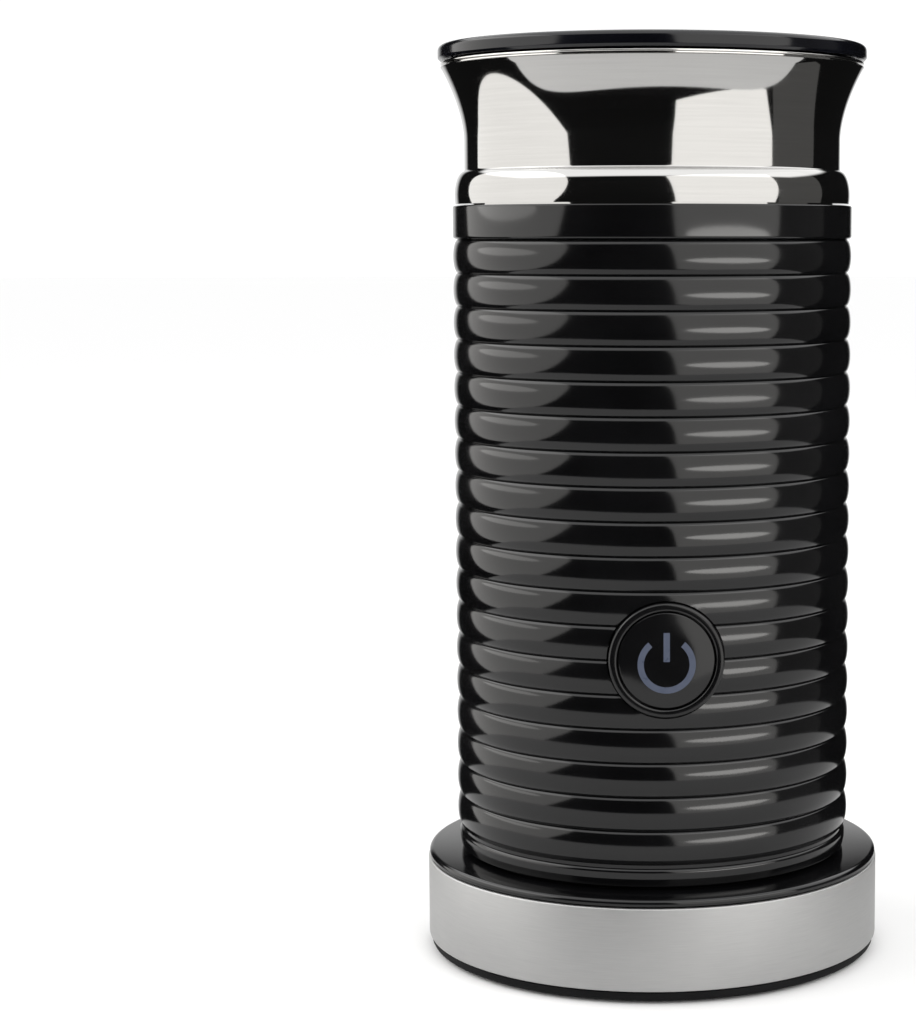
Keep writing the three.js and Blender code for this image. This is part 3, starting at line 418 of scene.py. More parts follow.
# %% Pockets in the plinth
PAD_RADIUS = 4.5
PAD_POCKET = 4.8
PAD_DEPTH = 1.25
HEAD_POCKET = 3
HEAD_DEPTH = 1.45
SHANK_HOLE = 1.8
for number in (1, 2, 3):
    carved(plinth, pocket("foot_%d" % number, PAD_POCKET, plinth_foot + PAD_DEPTH))
    carved(plinth, pocket("base_screw_%d" % number, HEAD_POCKET, plinth_foot + HEAD_DEPTH))
    carved(plinth, pocket("base_screw_%d" % number, SHANK_HOLE, band_top))
print("plinth:", len(plinth.data.polygons), "faces")

# %% Pads and screws
SCREW_HEAD = 2.7
SCREW_SHANK = 1.5
CROSS_LONG = 2.9
CROSS_WIDE = 0.6
CROSS_DEEP = 1.2
pads = []
for number in (1, 2, 3):
    x, y, low, high = middle_of("foot_%d" % number)
    outline = softened([(0, low), (PAD_RADIUS, low, 0.3), (PAD_RADIUS, high), (0, high)])
    place = Matrix.Translation((x, y, 0))
    pads.append(made("pad_%d" % number, spun(outline, 48, place), "base", ["foot_%d" % number]))


def cross_screw(name, node, body):
    """A pan head with a cross recess, seen from below, and its shank."""
    x, y, low, high = middle_of(node)
    outline = softened([(0, low), (SCREW_HEAD, low, 0.35), (SCREW_HEAD, low + 1), (SCREW_SHANK, low + 1),
                        (SCREW_SHANK, high), (0, high)], 3)
    piece = made(name, spun(outline, 32), body, [node])
    for width, depth in ((CROSS_LONG, CROSS_WIDE), (CROSS_WIDE, CROSS_LONG)):
        slot_shape = bmesh.new()
        bmesh.ops.create_cube(slot_shape, size=1)
        bmesh.ops.scale(slot_shape, vec=(width, depth, CROSS_DEEP), verts=slot_shape.verts)
        bmesh.ops.translate(slot_shape, vec=(0, 0, low), verts=slot_shape.verts)
        carved(piece, slot_shape)
    piece.data.transform(Matrix.Translation((x * MM, y * MM, 0)))
    return piece


screws = [cross_screw("base_fixing_%d" % n, "base_screw_%d" % n, "base") for n in (1, 2, 3)]
screws += [cross_screw("jug_fixing_%d" % n, "housing_screw_%d" % n, "jug") for n in (1, 2, 3)]

# %% [markdown]
# ## The cordless connector
# The jug can be set down at any angle because both halves of the connector are round: ring slots in a post on
# the base, and rings with a pin in the middle under the jug. Every ring is turned with a fine edge.

# %% Connector post, rings and the plate that carries them
POST = 15
POST_FLANGE = 2
LIVE_SLOT = 9.9
NEUTRAL_SLOT = 6.1
SLOT_WIDTH = 2.3
SLOT_BELOW = 2.5
WELL = 4.6
CONTACT_WALL = 0.4
BLADE_WALL = 0.6
_, post_foot, post_top = turned_size("base_connector")
post_under = cover_top - 2.3
slot_floor = post_under - SLOT_BELOW
post = made("connector_post", spun(softened([
    (0, post_foot), (POST + POST_FLANGE, post_foot), (POST + POST_FLANGE, post_under), (POST, post_under),
    (POST, post_top, 0.9), (LIVE_SLOT + SLOT_WIDTH, post_top, 0.3), (LIVE_SLOT + SLOT_WIDTH, slot_floor),
    (LIVE_SLOT, slot_floor), (LIVE_SLOT, post_top, 0.3), (NEUTRAL_SLOT + SLOT_WIDTH, post_top, 0.3),
    (NEUTRAL_SLOT + SLOT_WIDTH, slot_floor), (NEUTRAL_SLOT, slot_floor), (NEUTRAL_SLOT, post_top, 0.3),
    (WELL, post_top, 0.4), (WELL, slot_floor), (0, slot_floor)])), "base", ["base_connector"])
rings = []
for node, thickness, body in (("live_contact", CONTACT_WALL, "base"), ("neutral_contact", CONTACT_WALL, "base"),
                              ("earth_contact", CONTACT_WALL, "base"), ("live_blade", BLADE_WALL, "connector"),
                              ("neutral_blade", BLADE_WALL, "connector")):
    outside, low, high = turned_size(node)
    outline = softened([(outside - thickness, low, 0.12), (outside, low, 0.12), (outside, high, 0.12),
                        (outside - thickness, high, 0.12)], 3)
    rings.append(made(node + "_ring", spun(outline, 96), body, [node]))
pin_radius, low, high = turned_size("earth_pin")
outline = softened([(0, low), (pin_radius, low, 1.4), (pin_radius, high), (0, high)])
rings.append(made("earth_peg", spun(outline, 64), "connector", ["earth_pin"]))
socket_radius, low, socket_top = turned_size("jug_socket")
outline = softened([(0, low), (socket_radius, low, 0.6), (socket_radius, socket_top, 0.3), (0, socket_top)])
socket = made("socket_plate", spun(outline), "connector", ["jug_socket"])

# %% [markdown]
# ## The jug's bottom housing
# Under the jug a black pan closes the sleeve. It stands on a ring, and its middle is a well that drops over
# the connector's post.

# %% Bottom housing
HOUSING_WALL = 1.6
HOUSING_RING = 3.2
HOUSING_RECESS = 1.7
HOUSING_SHEET = 2
WALL_HEIGHT = 10
housing_radius, housing_foot, _ = turned_size("bottom_housing")
well = socket_radius + 0.5
well_roof = socket_top + 0.5
roof_top = socket_top + 1.6
housing_under = housing_foot + HOUSING_RECESS
housing_floor = housing_under + HOUSING_SHEET
housing = made("bottom_pan", spun(softened([
    (well, housing_under, 0.5), (housing_radius - HOUSING_RING, housing_under),
    (housing_radius - HOUSING_RING, housing_foot, 0.5), (housing_radius, housing_foot, 0.5),
    (housing_radius, housing_foot + WALL_HEIGHT), (housing_radius - HOUSING_WALL, housing_foot + WALL_HEIGHT),
    (housing_radius - HOUSING_WALL, housing_floor), (well + HOUSING_WALL, housing_floor),
    (well + HOUSING_WALL, roof_top), (well - 3, roof_top), (well - 3, well_roof), (well, well_roof),
])), "jug", ["bottom_housing"])
for number in (1, 2, 3):
    carved(housing, pocket("housing_screw_%d" % number, HEAD_POCKET, housing_under + 1))
    carved(housing, pocket("housing_screw_%d" % number, SHANK_HOLE, housing_floor + 1))

# %% [markdown]
# ## The button
# A glossy ring stands a little proud of the ribs and holds the button's cap. The cap is very slightly domed,
# and the symbol in it is a clear guide that carries the lamp's light to the front. These pieces are turned
# lying flat, and then stood up to face the user.

# %% Bezel and cap
front = Matrix.Translation((0, 0, button_height)) @ Matrix.Rotation(math.pi / 2, 4, "X")
LIP = 1.5
BORE_WALL = 0.8
CAP_SKIRT = 0.6
CAP_EDGE = 0.45
flange_back = -button_high[1] / MM
flange_radius = (button_high[0] - button_low[0]) / 2 / MM
bore = BEZEL_RADIUS - BORE_WALL
lip_inner = BEZEL_RADIUS - LIP
bezel = made("button_ring", spun(softened([
    (bore, flange_back), (flange_radius, flange_back), (flange_radius, flange_back + 1),
    (BEZEL_RADIUS, flange_back + 1), (BEZEL_RADIUS, bezel_face, 0.55), (lip_inner, bezel_face, 0.4),
    (lip_inner, bezel_face - 1), (bore, bezel_face - 1)], 7), 128, front), "jug", ["button_bezel"])
cap_low, cap_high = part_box("button_cap")
cap_face = -cap_low[1] / MM
cap_back = -cap_high[1] / MM
cap_radius = lip_inner - 0.15
outline = [
    (0, cap_back + 1.5), (cap_radius - CAP_SKIRT, cap_back + 1.5), (cap_radius - CAP_SKIRT, cap_back),
    (cap_radius + CAP_SKIRT, cap_back), (cap_radius + CAP_SKIRT, bezel_face - 1.3),
    (cap_radius, bezel_face - 1.3)]
outline += bow(cap_radius - CAP_EDGE, cap_face - 0.55, CAP_EDGE, CAP_EDGE, 0, 80, 6)
outline += [(cap_radius * 0.5, cap_face - 0.02), (0, cap_face)]
cap = made("button_face", spun(outline, 128, front), "button", ["button_cap"])

# %% The symbol in the cap
SYMBOL_RADIUS = 4.7
SYMBOL_STROKE = 1.15
SYMBOL_OPENING = math.radians(78)
SYMBOL_DROP = 0.7
BAR_TOP = 5.1
BAR_FOOT = -0.2
STEM = 1.7
GUIDE_RADIUS = 7
symbol_face = cap_face + 0.03


def open_ring():
    """A bar of the stroke's width swept round the ring, from one end of its opening to the other."""
    shape = bmesh.new()
    bmesh.ops.create_grid(shape, x_segments=1, y_segments=1, size=0.5)
    bmesh.ops.scale(shape, vec=(SYMBOL_STROKE, 1, 1), verts=shape.verts)
    bmesh.ops.rotate(shape, matrix=Matrix.Rotation(math.pi / 2, 3, "X"), verts=shape.verts)
    bmesh.ops.translate(shape, vec=(SYMBOL_RADIUS, 0, symbol_face - 0.5), verts=shape.verts)
    start = math.pi / 2 + SYMBOL_OPENING / 2
    bmesh.ops.rotate(shape, matrix=Matrix.Rotation(start, 3, "Z"), verts=shape.verts)
    section = shape.verts[:] + shape.edges[:] + shape.faces[:]
    bmesh.ops.spin(shape, geom=section, cent=(0, 0, 0), axis=(0, 0, 1),
                   angle=2 * math.pi - SYMBOL_OPENING, steps=64, use_merge=False)
    bmesh.ops.translate(shape, vec=(0, -SYMBOL_DROP, 0), verts=shape.verts)
    return shape


def bar():
    """The upright stroke in the ring's opening."""
    shape = bmesh.new()
    bmesh.ops.create_cube(shape, size=1)
    bmesh.ops.scale(shape, vec=(SYMBOL_STROKE, BAR_TOP - BAR_FOOT, 1), verts=shape.verts)
    bmesh.ops.translate(shape, vec=(0, (BAR_TOP + BAR_FOOT) / 2, symbol_face - 0.5), verts=shape.verts)
    return shape


stem = spun([(0, cap_back - 0.7), (STEM, cap_back - 0.7), (STEM, cap_back + 0.5),
             (GUIDE_RADIUS, cap_back + 0.5), (GUIDE_RADIUS, cap_back + 1.2), (0, cap_back + 1.2)], 48)
symbol_shape = joined(open_ring(), bar(), stem)
bmesh.ops.transform(symbol_shape, matrix=front, verts=symbol_shape.verts)
symbol = made("power_symbol", symbol_shape, "button", ["button_symbol"])

# %% [markdown]
# ## The whisk
# A wheel with a domed hub turns on a steel pin that stands on the pot's floor. A fine coil spring closed into
# a ring sits round the wheel's rim, and it is the coil that beats air into the milk. The coil is a curve, a
# helix bent round a circle, with the wire's radius as its bevel, made a mesh afterwards.

# %% Pin and wheel
PIN = 1.5
PIN_DISC = 4
BEARING = 5.6
HUB = 11
RIM_WIDTH = 1.2
RIM_TALL = 3
BLADE_THICK = 1.6
BLADE_TALL = 2.2
BLADE_TILT = math.pi / 7
BLADES = 4
MAGNET_BORE = 6.1
_, pin_foot, pin_top = turned_size("whisk_spindle")
pin = made("whisk_pin", spun(softened([
    (0, pin_foot), (PIN_DISC, pin_foot, 0.2), (PIN_DISC, pin_foot + 0.8, 0.2), (PIN, pin_foot + 0.8),
    (PIN, pin_top, 0.9), (0, pin_top)]), 48), "whisk_foot", ["whisk_spindle"])
wheel_radius, wheel_foot, wheel_top = turned_size("whisk_wheel")
magnet_radius, magnet_foot, magnet_top = turned_size("whisk_magnet")
pocket_top = magnet_top + 0.5
hub_top = pocket_top + 1
wheel_rim = wheel_foot + 0.3
hub = spun(softened([
    (0, wheel_top - 1.5), (2, wheel_top - 1.5), (2, wheel_foot), (BEARING, wheel_foot), (BEARING, pocket_top),
    (magnet_radius + 0.5, pocket_top), (magnet_radius + 0.5, wheel_foot), (HUB, wheel_foot, 0.4),
    (HUB, hub_top, 0.9), (4.2, hub_top, 1.2), (4, wheel_top, 1.4), (0, wheel_top)]), 96)
rim = spun(softened([
    (wheel_radius - RIM_WIDTH, wheel_rim, 0.3), (wheel_radius, wheel_rim, 0.3),
    (wheel_radius, wheel_rim + RIM_TALL, 0.3), (wheel_radius - RIM_WIDTH, wheel_rim + RIM_TALL, 0.3)], 3), 96)


def spoke(number):
    """A slanted blade between hub and rim, which pushes the milk as the wheel turns."""
    shape = bmesh.new()
    bmesh.ops.create_cube(shape, size=1)
    bmesh.ops.scale(shape, vec=(wheel_radius - HUB, BLADE_THICK, BLADE_TALL), verts=shape.verts)
    bmesh.ops.bevel(shape, geom=shape.edges[:], offset=0.25, offset_type="OFFSET", segments=2, profile=0.5,
                    affect="EDGES", material=-1)
    bmesh.ops.rotate(shape, matrix=Matrix.Rotation(BLADE_TILT, 3, "X"), verts=shape.verts)
    halfway = ((wheel_radius + HUB) / 2 - 0.5, 0, wheel_rim + RIM_TALL / 2)
    bmesh.ops.translate(shape, vec=halfway, verts=shape.verts)
    turn = Matrix.Rotation(2 * math.pi / BLADES * (number + 0.5), 3, "Z")
    bmesh.ops.rotate(shape, matrix=turn, verts=shape.verts)
    return shape


wheel = made("whisk_blades", joined(hub, rim, *[spoke(n) for n in range(BLADES)]), "whisk", ["whisk_wheel"])
magnet = made("whisk_magnet_ring", spun(softened([
    (MAGNET_BORE, magnet_foot, 0.2), (magnet_radius, magnet_foot, 0.2), (magnet_radius, magnet_top, 0.2),
    (MAGNET_BORE, magnet_top, 0.2)], 3), 64), "whisk", ["whisk_magnet"])

# %% The coil
COIL_TURNS = 66
TURN_POINTS = 12
WIRE = 0.33
coil_low, coil_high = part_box("froth_coil")
coil_middle = (coil_low[2] + coil_high[2]) / 2 / MM
coil_reach = (coil_high[2] - coil_low[2]) / 2 / MM - WIRE
coil_circle = coil_high[0] / MM - WIRE - coil_reach - 0.02
wire_path = bpy.data.curves.new("coil_path", "CURVE")
wire_path.dimensions = "3D"
wire_path.bevel_depth = WIRE * MM
wire_path.bevel_resolution = 1
spline = wire_path.splines.new("POLY")
count = COIL_TURNS * TURN_POINTS
spline.points.add(count - 1)
for i, point in enumerate(spline.points):
    along = 2 * math.pi * i / count
    winding = along * COIL_TURNS
    reach = coil_circle + coil_reach * math.cos(winding)
    point.co = (reach * math.cos(along) * MM, reach * math.sin(along) * MM,
                (coil_middle + coil_reach * math.sin(winding)) * MM, 1)
spline.use_cyclic_u = True
path_object = bpy.data.objects.new("coil_path", wire_path)
bpy.context.scene.collection.objects.link(path_object)
coil_mesh = bpy.data.meshes.new_from_object(path_object.evaluated_get(bpy.context.evaluated_depsgraph_get()))
bpy.data.objects.remove(path_object)
coil = bpy.data.objects.new("froth_spring", coil_mesh)
bpy.context.scene.collection.objects.link(coil)
shade(coil, 80)
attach(coil, "coil")
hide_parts("froth_coil")
print("coil:", len(coil_mesh.polygons), "faces")

# %% [markdown]
# ## Writing finishes
# A finish is a small network of shader nodes. One class wraps a socket so that maths on it reads like maths,
# and another adds any other node from its type, its settings and its sockets.

# %% Sockets that add up
class Signal:
    """One output of a shader node, which can be added, multiplied and so on."""

    def __init__(self, finish, socket):
        self.finish = finish
        self.socket = socket

    def maths(self, operation, *others):
        values = {i: other for i, other in enumerate((self,) + others)}
        return self.finish.node("ShaderNodeMath", {"operation": operation}, values)

    def __add__(self, other):
        return self.maths("ADD", other)

    def __mul__(self, other):
        return self.maths("MULTIPLY", other)

    def __sub__(self, other):
        return self.maths("SUBTRACT", other)

    def __rsub__(self, other):
        return self.finish.node("ShaderNodeMath", {"operation": "SUBTRACT"}, {0: other, 1: self})

    __radd__ = __add__
    __rmul__ = __mul__


class Network:
    """A shader tree under construction."""

    def __init__(self, tree):
        self.tree = tree

    def node(self, kind, settings=None, sockets=None, output=0):
        made_node = self.tree.nodes.new(kind)
        for key, value in (settings or {}).items():
            setattr(made_node, key, value)
        for key, value in (sockets or {}).items():
            self.feed(made_node.inputs[key], value)
        return Signal(self, made_node.outputs[output])

    def feed(self, socket, value):
        if isinstance(value, Signal):
            self.tree.links.new(value.socket, socket)
        elif hasattr(socket.default_value, "__len__") and len(socket.default_value) == 4 and len(value) == 3:
            socket.default_value = (*value, 1)
        else:
            socket.default_value = value

    def between(self, signal, low, high, new_low=0.0, new_high=1.0, ease="LINEAR"):
        return self.node("ShaderNodeMapRange", {"clamp": True, "interpolation_type": ease}, {
            "Value": signal, "From Min": low, "From Max": high, "To Min": new_low, "To Max": new_high})


class Finish(Network):
    """A material made from such a tree."""

    def __init__(self, name):
        self.material = bpy.data.materials.new(name)
        self.material.use_nodes = True
        super().__init__(self.material.node_tree)
        self.shader = self.tree.nodes["Principled BSDF"]

    def set(self, **values):
        for key, value in values.items():
            self.feed(self.shader.inputs[key.replace("_", " ")], value)

    def place(self, *stretch):
        """Where a point is on the piece, stretched, so that a pattern can run along one direction."""
        where = self.node("ShaderNodeTexCoord", output="Object")
        return self.node("ShaderNodeMapping", {}, {"Vector": where, "Scale": stretch or (1, 1, 1)})

    def noise(self, scale, stretch=(1, 1, 1), detail=3, roughness=0.5):
        return self.node("ShaderNodeTexNoise", {}, {
            "Vector": self.place(*stretch), "Scale": scale, "Detail": detail, "Roughness": roughness})

    def blend(self, factor, first, second):
        return self.node("ShaderNodeMix", {"data_type": "RGBA"}, {"Factor": factor, 6: first, 7: second}, 2)

    def bump(self, height, strength, distance):
        return self.node("ShaderNodeBump", {}, {"Height": height, "Strength": strength, "Distance": distance})


# %% [markdown]
# ## Glossy and satin mouldings
# Moulded plastic is never one flat black. Its gloss wavers a little where hands have been, and the surface
# has the slight orange peel of a mould. The satin parts have a fine spark-eroded grain instead. The plinth
# hides in the base's own shade, so it gets a darker copy of the satin black with its shine turned well down,
# both painted shade.

# %% Moulded plastics
def moulding(name, colour, second, gloss, waver, grain, depth, shine=0.5):
    """colour and second are the two ends of its colour, gloss its roughness, waver how much that changes."""
    finish = Finish(name)
    cloud = finish.noise(60, detail=4)
    peel = finish.noise(grain, detail=2)
    finish.set(
        Base_Color=finish.blend(finish.between(cloud, 0.35, 0.65), colour, second),
        Roughness=finish.between(cloud, 0.3, 0.7, gloss, gloss + waver),
        Normal=finish.bump(peel, 0.25, depth),
        Specular_IOR_Level=shine,
        IOR=1.5,
    )
    return finish.material


gloss_black = moulding("gloss_black_moulding",
                       (0.0018, 0.0018, 0.002), (0.003, 0.003, 0.0033), 0.09, 0.05, 900, 0.00001)
lid_black = moulding("lid_moulding", (0.0018, 0.0019, 0.003), (0.003, 0.0032, 0.005), 0.1, 0.05, 700, 0.00001)
cover_black = moulding("cover_moulding",
                       (0.002, 0.002, 0.0023), (0.0035, 0.0035, 0.004), 0.08, 0.05, 700, 0.00001)
satin_black = moulding("satin_black_moulding",
                       (0.014, 0.014, 0.015), (0.022, 0.022, 0.023), 0.38, 0.14, 3500, 0.00004)
# The plinth's finish is the satin black made darker and less shiny: painted shade for the base's shade.
plinth_black_painted_shade = moulding("plinth_moulding_painted_shade",
                        (0.004, 0.004, 0.0045), (0.007, 0.007, 0.0075), 0.5, 0.14, 3500, 0.00004, 0.12)
silicone_black = moulding("silicone", (0.02, 0.02, 0.021), (0.032, 0.032, 0.034), 0.62, 0.2, 2500, 0.00003)
whisk_black = moulding("whisk_moulding",
                       (0.015, 0.015, 0.017), (0.025, 0.025, 0.027), 0.3, 0.12, 2500, 0.00002)
white_moulding = moulding("white_moulding", (0.62, 0.61, 0.58), (0.72, 0.71, 0.68), 0.4, 0.15, 2500, 0.00002)
red_sleeve = moulding("red_silicone_sleeve",
                      (0.28, 0.012, 0.01), (0.38, 0.02, 0.018), 0.45, 0.15, 2000, 0.00003)
blue_sleeve = moulding("blue_moulding", (0.012, 0.035, 0.2), (0.02, 0.055, 0.28), 0.35, 0.15, 2000, 0.00003)
print("mouldings made")

# %% [markdown]
# ## Metals
# Polished steel shows almost only what is round it, with faint lines from the polishing wheel. Brushed steel
# is scratched in one direction: noise that is stretched along the band and squeezed across it gives the
# scratches, which change both its colour and its gloss. Cast and plated metals have clouds and grain instead.

# %% Metals
def metal(name, colour, second, gloss, waver, stretch, scale, depth, strength=0.3):
    """stretch is how its lines run and scale how fine they are, depth and strength give their relief."""
    finish = Finish(name)
    lines = finish.noise(scale, stretch, detail=4, roughness=0.6)
    cloud = finish.noise(45, detail=3)
    mixed = lines * 0.6 + cloud * 0.4
    finish.set(
        Base_Color=finish.blend(finish.between(mixed, 0.35, 0.65), colour, second),
        Roughness=finish.between(mixed, 0.3, 0.7, gloss, gloss + waver),
        Metallic=1.0,
        Normal=finish.bump(lines, strength, depth),
    )
    return finish.material


ROUND_THE_AXIS = (0.02, 0.02, 1)
polished_steel = metal("polished_steel",
                       (0.49, 0.485, 0.475), (0.53, 0.525, 0.515), 0.035, 0.04, ROUND_THE_AXIS, 2500,
                       0.000002, 0.1)
brushed_steel = metal("brushed_steel",
                      (0.49, 0.49, 0.49), (0.57, 0.57, 0.565), 0.5, 0.1, ROUND_THE_AXIS, 9000, 0.00001)
plain_steel = metal("zinc_plated_steel",
                    (0.42, 0.42, 0.41), (0.56, 0.56, 0.54), 0.25, 0.2, (1, 1, 1), 1500, 0.00001)
cast_aluminium = metal("cast_aluminium",
                       (0.42, 0.43, 0.44), (0.54, 0.55, 0.56), 0.36, 0.2, (1, 1, 1), 1200, 0.00005)
brass = metal("brass", (0.55, 0.36, 0.13), (0.66, 0.46, 0.2), 0.2, 0.16, ROUND_THE_AXIS, 1800, 0.00001)
copper = metal("copper_windings",
               (0.4, 0.16, 0.07), (0.55, 0.25, 0.12), 0.3, 0.15, (1, 1, 0.1), 1600, 0.00006)
magnet_grey = metal("sintered_magnet",
                    (0.08, 0.08, 0.085), (0.14, 0.14, 0.15), 0.4, 0.2, (1, 1, 1), 2500, 0.00003)
print("metals made")

# %% [markdown]
# ## The pot's coating
# The coating is a dark fluoropolymer with fine mica flecks. It stops at the flange, where bare steel shows.

# %% Pot coating
coating = Finish("pot_coating")
flecks = coating.between(coating.noise(2600, detail=1), 0.66, 0.72)
height = coating.node("ShaderNodeSeparateXYZ", {}, {"Vector": coating.place()}, "Z")
bare = coating.between(height, (lip_height - 0.2) * MM, (lip_height + 0.1) * MM)
coated = coating.blend(flecks, (0.028, 0.028, 0.03), (0.12, 0.12, 0.125))
coating.set(
    Base_Color=coating.blend(bare, coated, (0.8, 0.79, 0.77)),
    Roughness=coating.between(bare, 0, 1, 0.36, 0.07),
    Metallic=coating.between(bare, 0, 1, 0.25, 1.0),
    Normal=coating.bump(coating.noise(1800, detail=2), 0.2, 0.00002),
)
print("coating ends at %.1f mm" % lip_height)

# %% [markdown]
# ## The lit symbol and the circuit board
# The symbol is frosted and a little blue, with a glow that is hardly there. The board's green mask has tracks
# under it, drawn by a brick pattern turned on its side.

# %% Symbol and board
symbol_finish = Finish("symbol_guide")
haze = symbol_finish.noise(700, detail=2)
symbol_finish.set(
    Base_Color=symbol_finish.blend(haze, (0.035, 0.045, 0.07), (0.05, 0.06, 0.095)),
    Roughness=symbol_finish.between(haze, 0.3, 0.7, 0.25, 0.4),
    Emission_Color=symbol_finish.blend(haze, (0.25, 0.3, 0.45), (0.32, 0.38, 0.55)),
    Emission_Strength=0.03,
)
board_finish = Finish("circuit_board")
tracks = board_finish.node("ShaderNodeTexBrick", {"offset": 0.37}, {
    "Vector": board_finish.node("ShaderNodeMapping", {}, {
        "Vector": board_finish.node("ShaderNodeTexCoord", output="Object"), "Rotation": (math.pi / 2, 0, 0)}),
    "Color1": (0.012, 0.075, 0.03), "Color2": (0.016, 0.1, 0.04), "Mortar": (0.03, 0.17, 0.07),
    "Scale": 300, "Mortar Size": 0.06, "Brick Width": 1.2, "Row Height": 0.45})
board_finish.set(
    Base_Color=tracks,
    Roughness=board_finish.between(board_finish.noise(400), 0.3, 0.7, 0.3, 0.45),
    Normal=board_finish.bump(board_finish.noise(1500), 0.2, 0.00002),
)
print("finishes:", len(bpy.data.materials))

# %% Giving every piece its finish
def wear(material, slot, *objects):
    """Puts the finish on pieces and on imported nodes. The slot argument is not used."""
    for item in objects:
        if isinstance(item, str):
            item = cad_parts[item]
        item.data.materials.clear()
        item.data.materials.append(material)


wear(gloss_black, "gloss_black", sleeve, bezel, cap)
wear(cover_black, "gloss_black", cover)
wear(lid_black, "lid_plastic", lid)
wear(polished_steel, "polished_steel", collar, coil, pin, "motor_shaft")
wear(coating.material, "coated_steel", pot)
wear(brushed_steel, "brushed_band", band)
# The plinth takes the darker, duller copy of the satin black, which is painted shade.
wear(plinth_black_painted_shade, "satin_black", plinth)
wear(satin_black, "satin_black", plate, post, socket, housing, "motor_end_cap", "switch_body",
     "controller_chip", "capacitor")
wear(silicone_black, "silicone", seal, "cord_inlet", *pads)
wear(whisk_black, "whisk_plastic", wheel)
wear(magnet_grey, "magnet", magnet, "stator_magnet", "drive_magnet_1", "drive_magnet_2")
wear(plain_steel, "screw_steel", *screws)
wear(plain_steel, "coated_steel", "heater_element")
wear(brass, "brass", *rings)
wear(copper, "bronze", "upper_bearing", "lower_bearing", "rotor_core")
wear(cast_aluminium, "aluminium", "motor_can", "motor_bracket", "heater_plate")
wear(white_moulding, "white_plastic", "drive_carrier", "temperature_sensor", "switch_plunger",
     "indicator_led")
wear(red_sleeve, "red_plastic", "motor_lead_positive", "heater_lead_live")
wear(blue_sleeve, "blue_plastic", "motor_lead_negative", "heater_lead_neutral", "relay")
wear(symbol_finish.material, "light_guide", symbol)
wear(board_finish.material, "board_green", "control_board")

# %% [markdown]
# ## The studio
# Polished and glossy things show the room more than themselves, so everything in the room is placed for its
# reflection. The floor is white paper that the pieces don't mirror. A smaller grey card on it is seen only in
# reflections, and lightens the undersides of the ribs. To mirrors the room is dark up to a soft bright
# ceiling, with a pale backdrop behind the jug that edges its outline, and to everything else it is plain white.

# %% Floor and card
FLOOR_SIZE = 8
FLOOR_GREY = 0.9
CARD_GREY = 0.63


def paper_sheet(name, wide, deep, middle, height, shade_of_grey):
    """A flat round or oval sheet of studio paper."""
    shape = bmesh.new()
    bmesh.ops.create_circle(shape, cap_ends=True, segments=96, radius=1)
    bmesh.ops.scale(shape, vec=(wide, deep, 1), verts=shape.verts)
    bmesh.ops.translate(shape, vec=(0, middle, height), verts=shape.verts)
    mesh = bpy.data.meshes.new(name)
    shape.to_mesh(mesh)
    shape.free()
    sheet = bpy.data.objects.new(name, mesh)
    bpy.context.scene.collection.objects.link(sheet)
    paper = Finish(name + "_paper")
    paper.set(Base_Color=(shade_of_grey,) * 3, Roughness=paper.between(paper.noise(40), 0, 1, 0.8, 0.9),
              Specular_IOR_Level=0.0)
    sheet.data.materials.append(paper.material)
    return sheet


floor = paper_sheet("studio_floor", FLOOR_SIZE, FLOOR_SIZE, 0, 0, FLOOR_GREY)
floor.visible_glossy = False
bounce = paper_sheet("bounce_card", 0.3, 0.165, -0.085, 0.0002, CARD_GREY)
for kind in ("camera", "diffuse", "shadow", "transmission"):
    setattr(bounce, "visible_" + kind, False)
print("paper: %s, %s" % (floor.name, bounce.name))

# %% Sky
CEILING_LIGHT = 1.6
BACKDROP_LIGHT = 0.85
ROOM_LIGHT = 1.1
DARK = 0.008
world = bpy.data.worlds.new("studio_sky")
bpy.context.scene.world = world
world.use_nodes = True
sky = Network(world.node_tree)
seen = sky.node("ShaderNodeTexCoord", output="Generated")
across = sky.node("ShaderNodeSeparateXYZ", {}, {"Vector": seen}, "Y")
upward = sky.node("ShaderNodeSeparateXYZ", {}, {"Vector": seen}, "Z")
toward_camera = (across * -1).maths("MAXIMUM", 0)
ceiling = sky.between(upward - toward_camera * 0.25, 0.41, 0.5, DARK, CEILING_LIGHT, "SMOOTHSTEP")
backdrop = sky.between(across, 0.92, 0.97) * sky.between(upward, 0.2, 0.42, BACKDROP_LIGHT, 0)
mirrored = sky.node("ShaderNodeLightPath", output="Is Glossy Ray")
background = world.node_tree.nodes["Background"]
background.inputs["Color"].default_value = (1, 1, 1, 1)
sky.feed(background.inputs["Strength"], sky.node("ShaderNodeMix", {}, {
    "Factor": mirrored, "A": ROOM_LIGHT, "B": ceiling.maths("MAXIMUM", backdrop)}))
print("sky:", len(world.node_tree.nodes), "nodes")

# %% [markdown]
# ## The panels
# Three soft panels stand round the jug: an oval one far to the left, turned so that the collar shows it as a
# leaning patch, a tall one to the right of the camera, and beside it a dark screen, which keeps a grey strip
# at the collar's right. Two low panels light the ribs alone. Light linking keeps them out of the steel, which
# would show them as bars, while each rib draws them out into a thin glint.

# %% Panels
JUG_MIDDLE = 0.085
CAMERA_AZIMUTH = -3.85
LAMP_WHITE = (1, 0.985, 0.96)


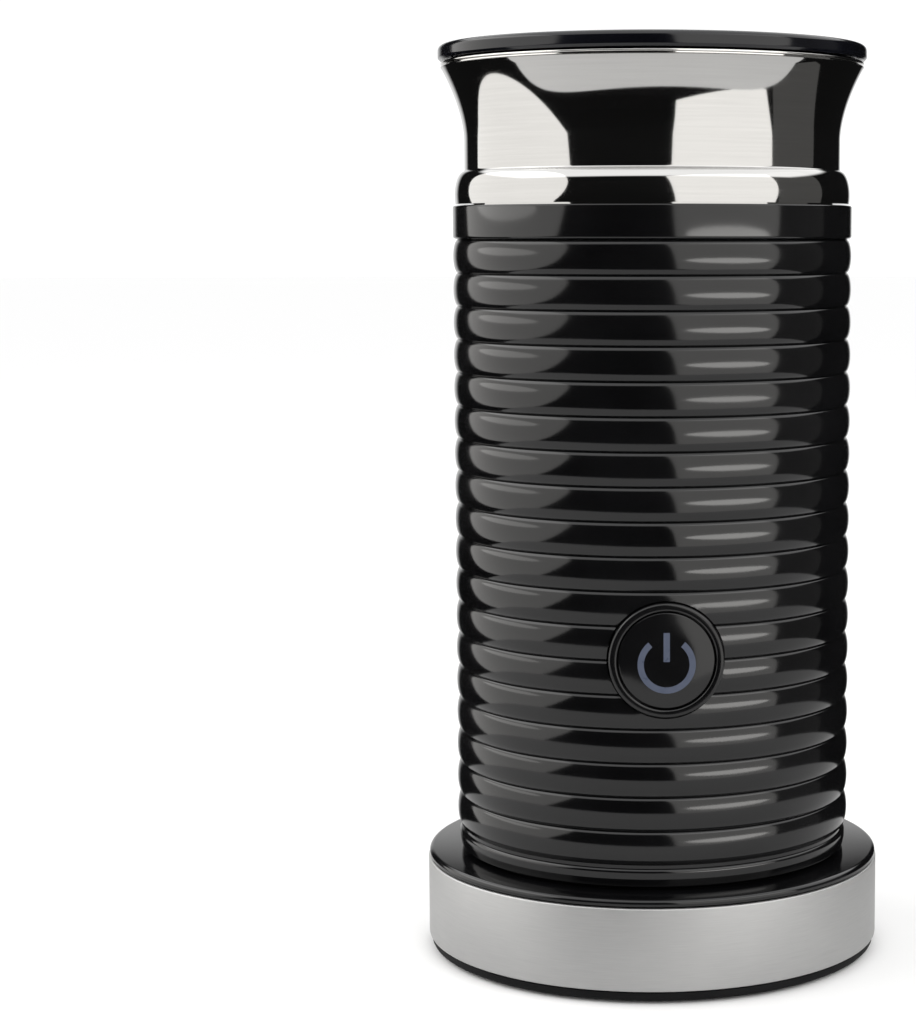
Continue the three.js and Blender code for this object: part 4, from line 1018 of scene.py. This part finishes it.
def panel(name, azimuth, distance, elevation, width, tall, radiance, shape="RECTANGLE", turned=0):
    """A soft panel that faces the jug's middle, or is turned away from it by some degrees.

    Azimuth 0 is where the camera stands.
    """
    lamp = bpy.data.lights.new(name, "AREA")
    lamp.shape = shape
    lamp.size = width
    lamp.size_y = tall
    area = width * tall * (math.pi / 4 if shape == "ELLIPSE" else 1)
    lamp.energy = radiance * area * math.pi
    lamp.color = LAMP_WHITE
    around = math.radians(CAMERA_AZIMUTH + azimuth)
    rise = math.radians(elevation)
    holder = bpy.data.objects.new(name, lamp)
    reach = math.cos(rise) * distance
    holder.location = (math.sin(around) * reach, -math.cos(around) * reach,
                       JUG_MIDDLE + math.sin(rise) * distance)
    holder.rotation_euler = (math.pi / 2 - rise, 0, around + math.radians(turned))
    bpy.context.scene.collection.objects.link(holder)
    return holder


panel("panel_left", -105.7, 0.72, 13.3, 1.26, 1.0, 1.5, "ELLIPSE", 35.7)
panel("panel_right", 43.5, 0.8, 8.6, 0.98, 1.19, 1.55)
panel("screen_right", 94, 0.8, 8.6, 0.53, 1.19, 0.1)
ribs_only = bpy.data.collections.new("ribs_only")
ribs_only.objects.link(sleeve)
for glint in (panel("glint_left", -92, 0.66, 12, 0.6, 0.14, 1.5, "ELLIPSE"),
              panel("glint_right", 43.5, 0.75, -2, 0.7, 0.13, 4.5, "ELLIPSE")):
    glint.light_linking.receiver_collection = ribs_only

# %% [markdown]
# ## The camera
# The camera looks a few degrees down from the height of the uppermost ribs, close enough for the jug to taper
# a little towards the table. The shift slides the frame so that the jug stands right of the middle.

# %% Camera
CAMERA_DISTANCE = 0.4675
CAMERA_HEIGHT = 0.1382
CAMERA_PITCH = 6.508
CAMERA_LENS = 84.9
CAMERA_SHIFT = -0.1897
camera_data = bpy.data.cameras.new("camera")
camera_data.sensor_width = 36
camera_data.lens = CAMERA_LENS
camera_data.shift_x = CAMERA_SHIFT
camera = bpy.data.objects.new("camera", camera_data)
around = math.radians(CAMERA_AZIMUTH)
camera.location = (math.sin(around) * CAMERA_DISTANCE, -math.cos(around) * CAMERA_DISTANCE, CAMERA_HEIGHT)
camera.rotation_euler = (math.pi / 2 - math.radians(CAMERA_PITCH), 0, around)
bpy.context.scene.collection.objects.link(camera)
bpy.context.scene.camera = camera
bpy.context.scene.view_settings.view_transform = "Standard"
print("camera: %.0f mm lens, %.0f mm from the axis" % (camera_data.lens, CAMERA_DISTANCE / MM))
